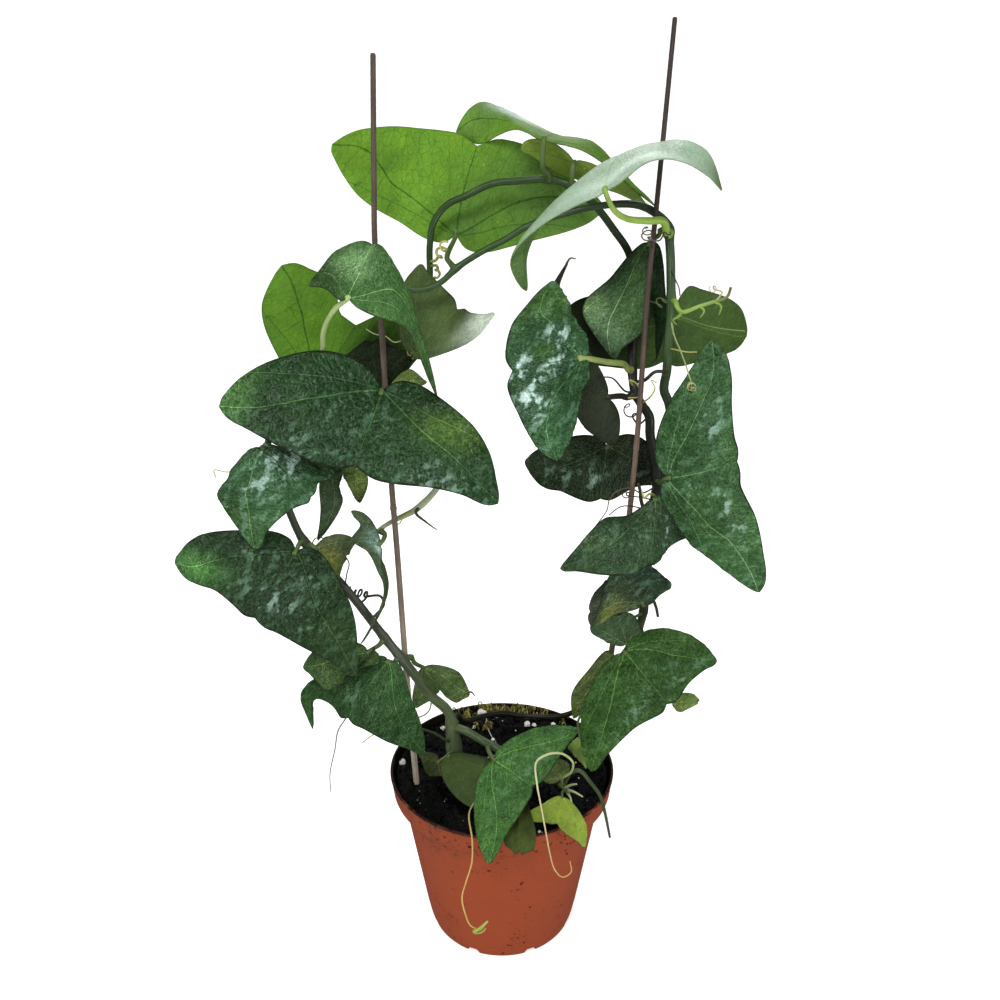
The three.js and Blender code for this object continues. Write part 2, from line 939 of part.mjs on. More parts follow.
      notch: [651, 300, 5],
      leftTip: [612, 358, 1],
      rightTip: [656, 362, 6],
      leftShoulder: [610, 278, 1],
      leftEnd: [584, 318, 1],
      leftBelly: [640, 336, 2],
      rightShoulder: [664, 275, 4],
      rightEnd: [665, 330, 3],
      rightBelly: [656, 338, 7],
      rightNeck: [661, 248, 3],
    },
  },
  leaf_right_back: {
    stem: "vine_outer",
    root: [671, 313, -2],
    colour: colours.leafGreen,
    grain: [12, 3],
    marks: {
      base: [670, 318, 10],
      notch: [664, 361, 17],
      leftTip: [566, 325, 12],
      rightTip: [747, 336, 18],
      leftShoulder: [625, 292, 14],
      leftEnd: [571, 304, 13],
      leftBelly: [608, 367, 14],
      rightShoulder: [700, 289, 11],
      rightEnd: [741, 308, 16],
      rightBelly: [700, 362, 20],
      leftEdge: [578, 352, 14],
      rightEdge: [735, 350, 20],
      rightNeck: [686, 289, 10],
    },
  },
  leaf_right_long: {
    stem: "vine_arch",
    root: [660, 480, -1],
    colour: colours.leafDark,
    grain: [12, 3],
    marks: {
      base: [667, 478, -18],
      notch: [737, 462, -38],
      leftTip: [713, 340, -24],
      rightTip: [760, 592, -40],
      leftShoulder: [661, 424, -16],
      leftEnd: [687, 374, -19],
      leftBelly: [732, 400, -34],
      leftEdge: [728, 358, -28],
      leftVein: [697, 415, -32],
      rightShoulder: [674, 518, -22],
      rightEnd: [712, 562, -31],
      rightBelly: [755, 514, -44],
      rightEdge: [766, 568, -43],
      rightVein: [712, 528, -38],
      leftBrow: [735, 440, -37],
      rightBrow: [740, 483, -41],
    },
  },
  leaf_right_dark: {
    stem: "vine_arch",
    root: [655, 446, -1],
    knees: [
      [650, 448, 11],
      [630, 450, 13],
    ],
    colour: colours.leafDark,
    marks: {
      base: [607, 446, 5],
      notch: [600, 499, -8],
      leftTip: [525, 464, -16],
      rightTip: [669, 487, 7],
      leftShoulder: [570, 437, -2],
      leftEnd: [533, 452, -12],
      leftBelly: [560, 491, -18],
      rightShoulder: [640, 437, 6],
      rightEnd: [664, 465, 7],
      rightBelly: [637, 487, 2],
      leftEdge: [537, 483, -17],
    },
  },
  leaf_right_middle: {
    stem: "vine_arch",
    root: [656, 496, -1],
    colour: colours.leafDark,
    marks: {
      base: [655, 499, -11],
      notch: [648, 565, -36],
      leftTip: [560, 569, -34],
      rightTip: [688, 536, -14],
      leftShoulder: [607, 517, -20],
      leftEnd: [576, 548, -30],
      leftBelly: [600, 575, -40],
      leftVein: [612, 544, -32],
      rightShoulder: [674, 508, -9],
      rightEnd: [683, 526, -12],
      rightBelly: [668, 549, -24],
      leftNeck: [631, 514, -15],
    },
  },
  leaf_right_young: {
    stem: "vine_arch",
    root: [645, 600, 1],
    colour: colours.leafDark,
    marks: {
      base: [642, 603, -14],
      notch: [618, 569, -28],
      rightTip: [671, 582, -20],
      leftTip: [592, 624, -26],
      rightShoulder: [657, 598, -14],
      rightBelly: [650, 566, -24],
      leftShoulder: [617, 614, -20],
      leftBelly: [601, 599, -30],
    },
  },
  leaf_right_tucked: {
    stem: "vine_arch",
    root: [637, 632, 3],
    colour: colours.leafDark,
    grain: [8, 3],
    marks: {
      base: [626, 644, -8],
      notch: [618, 615, -16],
      leftTip: [590, 627, -20],
      rightTip: [643, 629, -8],
      leftShoulder: [603, 640, -13],
      rightShoulder: [638, 638, -6],
      rightBelly: [634, 615, -11],
    },
  },
  leaf_right_rolled: {
    stem: "vine_arch",
    root: [643, 612, 2],
    knees: [[631, 617, -7]],
    petiole: 0.8,
    colour: colours.leafDark,
    marks: {
      base: [613, 613, -6],
      notch: [590, 612, -12],
      leftTip: [607, 643, -8],
      rightTip: [606, 580, -14],
      leftShoulder: [614, 630, -6],
      leftBelly: [592, 629, -12],
      rightShoulder: [614, 596, -10],
      rightBelly: [593, 595, -16],
    },
  },
  leaf_right_low: {
    stem: "vine_arch",
    root: [626, 654, 8],
    colour: colours.leafGreen,
    grain: [12, 3],
    marks: {
      base: [625, 652, -22],
      notch: [667, 703, -46],
      rightTip: [717, 661, -34],
      leftTip: [592, 772, -44],
      rightShoulder: [662, 628, -24],
      rightEnd: [704, 644, -30],
      rightBelly: [691, 681, -44],
      rightVein: [672, 655, -38],
      leftShoulder: [586, 700, -26],
      leftEnd: [581, 745, -35],
      leftBelly: [634, 729, -50],
      leftVein: [609, 712, -42],
    },
  },
  leaf_right_bronze: {
    stem: "vine_arch",
    root: [614, 672, 11],
    knees: [[614, 663, 4]],
    colour: colours.leafDark,
    grain: [10, 3],
    marks: {
      base: [617, 660, -8],
      notch: [612, 690, -16],
      leftTip: [573, 718, -10],
      rightTip: [640, 688, -9],
      leftShoulder: [590, 668, -11],
      leftEnd: [571, 697, -12],
      leftBelly: [596, 706, -14],
      leftNeck: [606, 651, -8],
      rightNeck: [627, 664, -8],
    },
  },
  leaf_right_tiny: {
    stem: "vine_arch",
    root: [604, 688, 17],
    knees: [
      [625, 700, -4],
      [650, 705, -20],
    ],
    petiole: 0.7,
    colour: colours.leafLight,
    grain: [8, 3],
    marks: {
      base: [675, 702, -30],
      notch: [698, 702, -34],
      leftTip: [682, 712, -33],
      rightTip: [694, 694, -31],
      leftShoulder: [674, 708, -31],
      rightShoulder: [680, 694, -29],
    },
  },
  leaf_pot_front: {
    stem: "shoot_front",
    root: [492, 746, -4],
    tendrils: [
      [
        [
          [494, 755, -16],
          [488, 772, -25],
          [480, 793, -35],
          [471, 808, -45],
          [469, 819, -56],
          [472, 838, -64],
          [472, 861, -66],
          [466, 882, -64],
          [462, 898, -61],
          [465, 913, -60],
          [471, 926, -59],
          [480, 929, -59],
        ],
        26,
      ],
    ],
    colour: colours.leafGreen,
    grain: [12, 3],
    marks: {
      base: [494, 760, -22],
      notch: [533, 787, -46],
      rightTip: [579, 729, -14],
      leftTip: [490, 864, -73],
      rightShoulder: [528, 730, -14],
      rightEnd: [566, 726, -10],
      rightBelly: [560, 757, -30],
      leftShoulder: [474, 806, -45],
      leftEnd: [479, 845, -66],
      leftBelly: [520, 814, -60],
      leftEdge: [502, 845, -70],
    },
  },
  leaf_pot_shaded: {
    stem: "vine_left",
    root: [455, 745, 9],
    colour: colours.leafDark,
    grain: [10, 3],
    marks: {
      base: [448, 756, -6],
      notch: [484, 768, -18],
      leftTip: [474, 808, -38],
      rightTip: [500, 762, -8],
      leftShoulder: [443, 779, -18],
      leftBelly: [483, 792, -29],
      rightShoulder: [466, 754, -3],
    },
  },
  leaf_pot_lip: {
    stem: "shoot_front",
    root: [528, 764, -11],
    colour: colours.leafDark,
    grain: [10, 3],
    marks: {
      base: [520, 790, -34],
      notch: [519, 851, -68],
      leftTip: [505, 845, -65],
      rightTip: [534, 850, -67],
      leftShoulder: [506, 812, -50],
      rightShoulder: [531, 814, -51],
      leftEnd: [502, 832, -60],
      rightEnd: [536, 836, -62],
      mid: [519, 824, -56],
    },
  },
  leaf_pot_new: {
    stem: "shoot_front",
    root: [567, 791, -24],
    petiole: 0.8,
    colour: colours.leafLight,
    marks: {
      base: [562, 798, -34],
      notch: [557, 824, -53],
      leftTip: [520, 821, -50],
      rightTip: [585, 847, -60],
      leftShoulder: [544, 803, -39],
      leftBelly: [538, 822, -52],
      rightShoulder: [580, 812, -44.5],
      rightBelly: [570, 837, -61],
      rightEnd: [587, 833, -54],
    },
  },
  leaf_pot_bud: {
    stem: "shoot_front",
    root: [559, 783, -21],
    petiole: 0.7,
    colour: colours.leafLight,
    grain: [8, 2],
    marks: {
      base: [563, 776, -20.5],
      notch: [551, 771, -22],
      leftTip: [539, 775, -28],
      rightTip: [557, 758, -13],
      leftShoulder: [552, 784, -28],
      rightShoulder: [570, 767, -18],
    },
  },
  leaf_pot_side: {
    stem: "vine_arch",
    root: [585, 706, 26],
    knees: [[578, 722, 16]],
    petiole: 0.8,
    colour: colours.leafLight,
    grain: [8, 3],
    marks: {
      base: [580, 738, 8],
      notch: [577, 758, 1],
      leftTip: [568, 748, 6],
      rightTip: [586, 769, -6],
      rightShoulder: [588, 753, 2],
      leftShoulder: [573, 741, 7],
    },
  },
  leaf_pot_left: {
    stem: "vine_left",
    root: [450, 748, 9],
    petiole: 0.8,
    colour: colours.leafDark,
    grain: [8, 3],
    marks: {
      base: [438, 762, -4],
      notch: [428, 774, -8],
      leftTip: [419, 755, -4],
      rightTip: [441, 776, -9],
    },
  },
};

// The soil: a plug that follows the pot's inside, with a lumpy top and plain holes for stem and stakes.
function soilBody() {
  const inset = pot.wall + soil.clearance;
  const topRadius = pot.collarRadius - inset;
  const ringAt = (k) => [(topRadius * (soil.rings - k)) / soil.rings, soil.top];
  const rings = Array.from({ length: soil.rings + 1 }, (_, k) => ringAt(k));
  const profile = [
    [0, pot.floor + soil.clearance],
    [pot.footRadius - inset, pot.floor + soil.clearance],
    [pot.heelRadius - inset, pot.heelHeight],
    [pot.bodyRadius - inset, bodyTop + 2],
    [topRadius, collarBottom + 3.2],
    ...rings,
  ];
  const points = profile.map(([r, z]) => new THREE.Vector2(r, z));
  const geometry = new THREE.LatheGeometry(points, pot.sides).rotateX(Math.PI / 2);
  const position = geometry.getAttribute("position");
  for (let i = 0; i < position.count; i += 1) {
    const [x, y, z] = [position.getX(i), position.getY(i), position.getZ(i)];
    if (z < soil.top - 0.5) continue;
    const lumps = Math.sin(x * 0.21 + 1) * Math.cos(y * 0.17) + 0.6 * Math.sin(x * 0.43 - y * 0.37);
    position.setZ(i, z + soil.lump * lumps);
  }
  const upright = new THREE.Vector3(0, 0, 1);
  const holes = [
    [crown, upright, crownRadius],
    [stakes.left.foot, stakes.left.lean, stake.footRadius],
    [stakes.right.foot, stakes.right.lean, stake.footRadius],
  ];
  return holes.reduce((body, [foot, lean, radius]) => {
    const drill = new THREE.CylinderGeometry(radius + soil.hole, radius + soil.hole, 60, 16);
    drill.applyQuaternion(new THREE.Quaternion().setFromUnitVectors(new THREE.Vector3(0, 1, 0), lean));
    return body.subtract(solid(drill.translate(foot.x, foot.y, foot.z)));
  }, solid(geometry));
}

// The arch, with the stub of a lost leaf's petiole.
function archBody() {
  const stub = [
    [646, 594, 1],
    [652, 598, -3],
    [656, 607, -4],
    [658, 617, -4],
  ].map(seen);
  return join([stalk(routes.vine_arch, radii.vine_arch, 6, 68), stalk(stub, taper(0.9, 0.7), 5, 4)]);
}

// The front shoot, with the narrow folded leaf that lies over the rim, its bud scales and its long tendril.
function shootFrontBody() {
  const narrowLeaf = [
    [563, 787, -22],
    [572, 772, -23],
    [580, 771, -24],
    [590, 782, -28],
    [600, 796, -36],
    [605, 813, -45],
    [610, 838, -54],
  ].map(seen);
  const scales = [
    [[566, 790, -24], [574, 792, -27], [583, 797, -30]],
    [[565, 788, -24], [571, 785, -26], [577, 784, -28]],
    [[566, 791, -24], [570, 797, -28], [572, 804, -32]],
  ].map((marks) => stalk(marks.map(seen), taper(0.9, 0.35), 4, 3));
  const coil = [
    [562, 786, -22],
    [563, 778, -27],
    [571, 772, -29],
    [573, 763, -31],
    [565, 755, -35],
    [556, 753, -40],
    [546, 755, -44],
    [536, 763, -50],
    [537, 784, -57],
    [541, 806, -62],
    [546, 833, -69],
    [550, 854, -72],
    [555, 870, -71],
    [563, 877, -69],
    [571, 872, -67],
    [570, 861, -66],
  ];
  return join([
    stalk(routes.shoot_front, radii.shoot_front, 6, 16),
    stalk(narrowLeaf, taper(1.3, 0.5), 5, 14),
    ...scales,
    tendril(coil, 34),
  ]);
}

show("pot", potBody(), colours.pot, 0.55);
show("soil", soilBody(), colours.soil, 0.95);
show("stake_left", stalk(routes.stake_left, radii.stake_left, stake.sides, 12), colours.stakeLeft, 0.8);
show("stake_right", stalk(routes.stake_right, radii.stake_right, stake.sides, 12), colours.stakeRight, 0.8);
show("vine_left", stalk(routes.vine_left, radii.vine_left, 8, 44), colours.vine, 0.7);
show("vine_arch", archBody(), colours.vine, 0.7);
show("vine_outer", stalk(routes.vine_outer, radii.vine_outer, 6, 44), colours.vine, 0.7);
show("shoot_front", shootFrontBody(), colours.shoot, 0.6);
show("shoot_left", stalk(routes.shoot_left, radii.shoot_left, 5, 20), colours.shoot, 0.6);
show("shoot_right", stalk(routes.shoot_right, radii.shoot_right, 5, 12), colours.shoot, 0.6);
for (const [name, leaf] of Object.entries(leaves)) {
  show(name, leafBody(leaf), leaf.colour, 0.45);
}

export default plant;
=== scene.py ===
"""Dresses a potted climbing vine with two-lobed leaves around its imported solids.

The plant's marks are sighted through one picture: a pixel column, a pixel row and a depth in
millimetres behind the pot's centre. Paths and blades are worked out in millimetres and turned
into metres when a mesh is made.
"""

import json  # noqa: E402
import logging  # noqa: E402
import math  # noqa: E402
import random  # noqa: E402
from dataclasses import dataclass, field  # noqa: E402
from enum import Enum  # noqa: E402
from typing import Iterable, Sequence  # noqa: E402

import bmesh  # noqa: E402
import bpy  # noqa: E402
import numpy as np  # noqa: E402
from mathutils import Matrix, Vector, noise  # noqa: E402

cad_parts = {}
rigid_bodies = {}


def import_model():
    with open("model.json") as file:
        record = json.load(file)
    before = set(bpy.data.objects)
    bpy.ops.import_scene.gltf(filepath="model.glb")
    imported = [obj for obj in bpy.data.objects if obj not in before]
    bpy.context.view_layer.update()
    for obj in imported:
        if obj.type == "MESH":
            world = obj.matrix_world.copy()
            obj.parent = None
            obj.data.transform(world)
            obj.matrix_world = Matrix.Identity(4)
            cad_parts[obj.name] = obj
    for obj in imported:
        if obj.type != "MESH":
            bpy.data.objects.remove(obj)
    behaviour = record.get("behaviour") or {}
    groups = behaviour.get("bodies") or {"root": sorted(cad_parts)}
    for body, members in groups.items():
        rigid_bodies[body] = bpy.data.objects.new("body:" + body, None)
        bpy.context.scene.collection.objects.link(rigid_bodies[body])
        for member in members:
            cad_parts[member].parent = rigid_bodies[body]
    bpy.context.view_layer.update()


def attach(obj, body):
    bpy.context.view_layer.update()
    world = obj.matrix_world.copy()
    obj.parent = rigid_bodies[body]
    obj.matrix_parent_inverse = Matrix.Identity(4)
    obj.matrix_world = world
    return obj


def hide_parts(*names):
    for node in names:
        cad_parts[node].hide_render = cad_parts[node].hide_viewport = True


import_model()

log = logging.getLogger("potted_vine")

MM = 0.001
BODY = "root"
TURN = 2.0 * math.pi
WELD_M = 2e-7
MARGIN_STEPS = 400
STALK_SLOT = 2
SIDE_VEIN = (0.40, 0.09)
LOW_VEIN = (0.02, 0.27)
VEIN_SPACING = 0.13

Mark = tuple[float, float, float]
Rgb = tuple[int, int, int]


def linear(colour: Rgb) -> np.ndarray:
    """Turns a display colour of 0 to 255 a channel into linear light.

    Args:
        colour: red, green and blue.

    Returns:
        Three linear values from 0 to 1.
    """
    share = np.asarray(colour, float) / 255.0
    return np.where(share <= 0.04045, share / 12.92, ((share + 0.055) / 1.055) ** 2.4)


def unit(rows: np.ndarray) -> np.ndarray:
    """Scales each row of an array to length one."""
    length = np.linalg.norm(rows, axis=-1, keepdims=True)
    return rows / np.maximum(length, 1e-12)


def ease(low: float, high: float, value: np.ndarray) -> np.ndarray:
    """Rises smoothly from 0 at low to 1 at high."""
    share = np.clip((value - low) / (high - low), 0.0, 1.0)
    return share * share * (3.0 - 2.0 * share)


def bell(distance: np.ndarray, reach: float) -> np.ndarray:
    """Falls along a bell curve from 1 at no distance to about a third at its reach."""
    return np.exp(-((distance / reach) ** 2))


def course(reach: "np.ndarray | Wire", slope: float, curve: float) -> "np.ndarray | Wire":
    """Gives how far up the leaf pattern a vein runs at a distance from the midrib."""
    return slope * reach + curve * (reach * reach)


def bridge(ends: Sequence, speeds: Sequence, share: np.ndarray) -> np.ndarray:
    """Curves smoothly from one point to the next.

    Args:
        ends: the two points.
        speeds: the directions in which the curve leaves the first and reaches the second.
        share: shares of the way, one a row.

    Returns:
        One point for each share.
    """
    (start, end), (leave, arrive) = ends, speeds
    return (
        start
        + leave * share
        + (3.0 * (end - start) - 2.0 * leave - arrive) * share**2
        + (2.0 * (start - end) + leave + arrive) * share**3
    )


def lengths(line: np.ndarray) -> np.ndarray:
    """Measures how far along a line each of its points lies."""
    return np.concatenate([[0.0], np.cumsum(np.linalg.norm(np.diff(line, axis=0), axis=1))])


def walk(line: np.ndarray, along: np.ndarray, distances: np.ndarray) -> np.ndarray:
    """Gives the points at distances along a line whose own points lie at along."""
    return np.stack([np.interp(distances, along, axis) for axis in line.T], axis=-1)


def stain(tints: np.ndarray, colour: Rgb, share: np.ndarray) -> None:
    """Mixes a display colour into the tints of vertices, by a share for each."""
    tints[:, :3] += (linear(colour) - tints[:, :3]) * share[:, None]


def show(name: str, data: bpy.types.ID) -> bpy.types.Object:
    """Puts a mesh, a light or a camera into the scene.

    Args:
        name: the object's name.
        data: what it shows.

    Returns:
        The object, at the origin.
    """
    made = bpy.data.objects.new(name, data)
    bpy.context.scene.collection.objects.link(made)
    return made


def settle(mesh: bmesh.types.BMesh, name: str, materials: Sequence[bpy.types.Material]) -> bpy.types.Object:
    """Ends a bmesh in a smooth object in the scene.

    Args:
        mesh: the bmesh, which is freed.
        name: the object's name.
        materials: its material slots in order.

    Returns:
        The object, at the origin.
    """
    data = bpy.data.meshes.new(name)
    mesh.to_mesh(data)
    mesh.free()
    for material in materials:
        data.materials.append(material)
    data.polygons.foreach_set("use_smooth", [True] * len(data.polygons))
    return show(name, data)


@dataclass(frozen=True)
class Sight:
    """The eye that the plant's marks are sighted from, in millimetres and pixels."""

    place: tuple[float, float, float] = (-1.0, -434.0, 407.0)
    pitch: float = math.radians(20.3)
    focal: float = 954.0
    centre: float = 500.0
    picture: float = 1000.0

    def rays(self, columns: np.ndarray, rows: np.ndarray) -> np.ndarray:
        """Gives the directions of the lines of sight through pixels.

        Args:
            columns: the pixels' columns.
            rows: their rows.

        Returns:
            One direction for each pixel.
        """
        across = (columns - self.centre) / self.focal
        up = (self.centre - rows) / self.focal
        ahead = math.cos(self.pitch) + up * math.sin(self.pitch)
        rise = up * math.cos(self.pitch) - math.sin(self.pitch)
        return np.stack([across, ahead, rise], axis=-1)

    def seen(self, marks: Sequence[Mark]) -> np.ndarray:
        """Places marks at their depths on their lines of sight.

        Args:
            marks: a column, a row and a depth y for each mark.

        Returns:
            One point in millimetres for each mark.
        """
        table = np.asarray(marks, float).reshape(-1, 3)
        rays = self.rays(table[:, 0], table[:, 1])
        eye = np.asarray(self.place)
        reach = (table[:, 2] - eye[1]) / rays[:, 1]
        return eye + rays * reach[:, None]

    def level(self, column: float, row: float, height: float) -> np.ndarray:
        """Places one pixel at a height instead of a depth."""
        ray = self.rays(np.asarray(column), np.asarray(row))
        return self.place + ray * (height - self.place[2]) / ray[2]


SIGHT = Sight()


class Path:
    """A smooth curve through points, measured along its length in millimetres."""

    least_span = 1e-4
    probe = 0.4
    heading_probe = 1.0

    def __init__(self, points: np.ndarray, fine: int = 24) -> None:
        """Fits a centripetal curve through the points.

        Args:
            points: the points to pass, in millimetres.
            fine: samples between two points.
        """
        knots = np.asarray(points, float)
        knots = np.vstack([2.0 * knots[0] - knots[1], knots, 2.0 * knots[-1] - knots[-2]])
        spans = np.maximum(np.linalg.norm(np.diff(knots, axis=0), axis=1) ** 0.5, self.least_span)
        share = np.linspace(0.0, 1.0, fine, endpoint=False)[:, None]
        pieces = []
        for k in range(1, len(knots) - 2):
            before, start, end, after = knots[k - 1 : k + 3]
            d0, d1, d2 = spans[k - 1 : k + 2]
            leave = (start - before) / d0 - (end - before) / (d0 + d1) + (end - start) / d1
            arrive = (end - start) / d1 - (after - start) / (d1 + d2) + (after - end) / d2
            pieces.append(bridge((start, end), (leave * d1, arrive * d1), share))
        self.samples = np.vstack([*pieces, knots[-2:-1]])
        self.along = lengths(self.samples)
        self.length = float(self.along[-1])

    def at(self, distances: np.ndarray) -> np.ndarray:
        """Gives the points at distances along the curve."""
        return walk(self.samples, self.along, distances)

    def nearest(self, point: np.ndarray) -> float:
        """Gives the distance along the curve at which it passes closest to a point."""
        return float(self.along[np.argmin(np.linalg.norm(self.samples - point, axis=1))])

    def heading(self, distance: float) -> np.ndarray:
        """Gives the curve's direction at a distance."""
        reach = np.array([-self.heading_probe, self.heading_probe])
        return unit(np.diff(self.at(np.clip(distance + reach, 0.0, self.length)), axis=0)[0])

    def frames(self, distances: np.ndarray) -> tuple[np.ndarray, np.ndarray, np.ndarray]:
        """Carries a cross-section's axes along the curve without twisting it.

        Args:
            distances: rising distances along the curve.

        Returns:
            The centre, first axis and second axis at each distance.
        """
        centres = self.at(distances)
        ahead = self.at(np.minimum(distances + self.probe, self.length))
        headings = unit(ahead - self.at(np.maximum(distances - self.probe, 0.0)))
        side = np.cross(headings[0], (0.0, 0.0, 1.0))
        if np.linalg.norm(side) < 1e-3:
            side = np.cross(headings[0], (0.0, 1.0, 0.0))
        first = [unit(side)]
        for heading in headings[1:]:
            carried = first[-1] - heading * float(first[-1] @ heading)
            first.append(unit(carried))
        axes = np.array(first)
        return centres, axes, np.cross(headings, axes)


class Skin:
    """A bmesh whose vertices carry a tint and a pattern place for the finishes to read."""

    def __init__(self) -> None:
        """Starts an empty mesh with its two layers."""
        self.mesh = bmesh.new()
        self.tint = self.mesh.verts.layers.float_color.new("tint")
        self.pattern = self.mesh.verts.layers.float_vector.new("pattern")

    def sheet(self, columns: int, rows: int) -> tuple[list, np.ndarray, np.ndarray]:
        """Adds a grid whose vertices are then laid out by a formula.

        Args:
            columns: faces along the grid.
            rows: faces across it.

        Returns:
            The vertices, and each one's share along and across, from 0 to 1.
        """
        made = bmesh.ops.create_grid(self.mesh, x_segments=columns, y_segments=rows, size=1.0)
        verts = made["verts"]
        flat = np.array([vert.co[:2] for vert in verts])
        return verts, (flat[:, 0] + 1.0) / 2.0, (flat[:, 1] + 1.0) / 2.0

    def lay(self, verts: list, places: np.ndarray, tints: np.ndarray, patterns: np.ndarray) -> None:
        """Moves vertices to their places and gives them their tints and pattern places.

        Args:
            verts: the vertices.
            places: their places in millimetres.
            tints: linear red, green, blue and the share of painted glints.
            patterns: the three numbers that the finish reads.
        """
        for vert, place, tint, spot in zip(verts, places * MM, tints, patterns):
            vert.co = place
            vert[self.tint] = tint
            vert[self.pattern] = spot

    def faces_of(self, verts: list) -> list:
        """Lists the faces of a set of vertices once each."""
        return list({face for vert in verts for face in vert.link_faces})

    def weld(self, verts: list) -> None:
        """Merges the vertices that share a place, which closes seams and poles."""
        bmesh.ops.remove_doubles(self.mesh, verts=verts, dist=WELD_M)

    def finish(self, name: str, materials: Sequence[bpy.types.Material]) -> bpy.types.Object:
        """Makes the smooth object, with its material slots in order."""
        return settle(self.mesh, name, materials)


def dress(piece: bpy.types.Object, slot: str, *nodes: str) -> None:
    """Makes a piece ride on the plant's body and stand for its solids.

    Args:
        piece: the finished object.
        slot: the record's material slot; not used.
        nodes: the solids that it replaces.
    """
    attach(piece, BODY)
    if nodes:
        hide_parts(*nodes)
    log.info("%s: %d faces", piece.name, len(piece.data.polygons))


def taper(start: float, end: float) -> tuple[tuple[float, float], ...]:
    """Gives the width marks of a stalk that narrows evenly."""
    return ((0.0, start), (1.0, end))


def width_at(widths: Sequence[tuple[float, float]], share: np.ndarray) -> np.ndarray:
    """Gives the radius at shares of a stalk's length, from marks of share and radius."""
    shares, radii = zip(*widths)
    return np.interp(share, shares, radii)


@dataclass
class Tube:
    """A round or ribbed stalk along a path, closed and rounded at both ends."""

    path: Path
    widths: Sequence[tuple[float, float]]
    colours: Sequence[Rgb]
    sides: int = 10
    step: float = 1.6
    ribs: int = 0
    rib_depth: float = 0.0
    knots: Sequence[tuple[float, float, float]] = ()
    rough: float = 0.0
    material: int = 0
    rounding: tuple[float, ...] = (0.0, 0.55, 0.86)
    rounding_rings: tuple[float, float] = (0.25, 0.8)
    ripple: float = 1.9

    def radius(self, distances: np.ndarray) -> np.ndarray:
        """Gives the stalk's radius, with its swollen knots.

        Args:
            distances: distances along the stalk.

        Returns:
            One radius for each.
        """
        radius = width_at(self.widths, distances / self.path.length)
        for place, gain, reach in self.knots:
            radius = radius * (1.0 + gain * bell(distances - place, reach))
        return radius

    def add_to(self, skin: Skin) -> None:
        """Adds the stalk to a mesh.

        Args:
            skin: the mesh.
        """
        length = self.path.length
        rings = max(4, int(round(length / self.step)))
        tip, root = min(self.widths[-1][1], length / 4), min(self.widths[0][1], length / 4)
        near, far = self.rounding_rings
        inner = np.linspace(root * far, length - tip * far, rings)
        ends = [0.0, 0.0, root * near], [length - tip * near, length, length]
        stations = np.concatenate([ends[0], inner, ends[1]])
        cap = np.concatenate([self.rounding, np.ones(rings), self.rounding[::-1]])
        centres, first, second = self.path.frames(stations)
        radius = self.radius(stations) * cap
        verts, along, around = skin.sheet(len(stations) - 1, self.sides)
        ring = np.rint(along * (len(stations) - 1)).astype(int)
        angle = around * TURN
        lobes = 1.0 + self.rib_depth * np.cos(self.ribs * angle)
        if self.rough:
            ripple = np.sin(stations[ring] * self.ripple + 3.0 * np.sin(angle))
            lobes = lobes * (1.0 + self.rough * ripple)
        reach = (radius[ring] * lobes)[:, None]
        outward = first[ring] * np.cos(angle)[:, None] + second[ring] * np.sin(angle)[:, None]
        stops = np.linspace(0.0, length, len(self.colours))
        colours = np.array([linear(colour) for colour in self.colours])
        tints = np.column_stack([walk(colours, stops, stations[ring]), np.zeros(len(verts))])
        patterns = np.stack([np.cos(angle), np.sin(angle), stations[ring] / 10.0], axis=-1)
        skin.lay(verts, centres[ring] + reach * outward, tints, patterns)
        faces = skin.faces_of(verts)
        for face in faces:
            face.material_index = self.material
        bmesh.ops.reverse_faces(skin.mesh, faces=faces)
        skin.weld(verts)


def spring(first: Mark, last: Mark, radius: float, turns: float, flat: float = 0.5) -> list[Mark]:
    """Works out the marks of a tendril's uneven coil around a line between two marks.

    Args:
        first: the mark at which the coil starts.
        last: the mark at which it ends.
        radius: its radius in pixels, across the line.
        turns: how often it goes round.
        flat: how round its loops look: 0 edge on, 1 face on.

    Returns:
        Marks that wind along the line.
    """
    start, end = np.array(first, float), np.array(last, float)
    along = unit((end - start)[:2])
    across = np.array([-along[1], along[0]])
    count = max(8, int(turns * 9))
    marks = []
    for k in range(count + 1):
        share = k / count
        angle = share * turns * TURN
        reach = radius * (1.0 + 0.3 * math.sin(angle * 0.43 + radius)) * (1.0 - 0.35 * share)
        place = start + (end - start) * share
        place[:2] += across * reach * math.sin(angle) + along * reach * flat * math.cos(angle)
        place[2] += 0.4 * reach * math.cos(angle)
        marks.append(tuple(place))
    return marks


def spread_margin(points: Sequence[tuple[float, float]], fine: int = 40) -> np.ndarray:
    """Draws a margin of the leaf pattern as a dense line, evenly spaced along its length.

    Args:
        points: the margin's few points, in pattern units.
        fine: samples between two points.

    Returns:
        The line's points from the margin's start to its end.
    """
    knots = np.asarray(points, float)
    knots = np.vstack([knots[:1], knots, knots[-1:]])
    share = np.linspace(0.0, 1.0, fine, endpoint=False)[:, None]
    pieces = []
    for k in range(1, len(knots) - 2):
        before, start, end, after = knots[k - 1 : k + 3]
        pieces.append(bridge((start, end), ((end - before) / 2.0, (after - start) / 2.0), share))
    line = np.vstack([*pieces, knots[-1:]])
    along = lengths(line)
    return walk(line, along, np.linspace(0.0, along[-1], MARGIN_STEPS + 1))


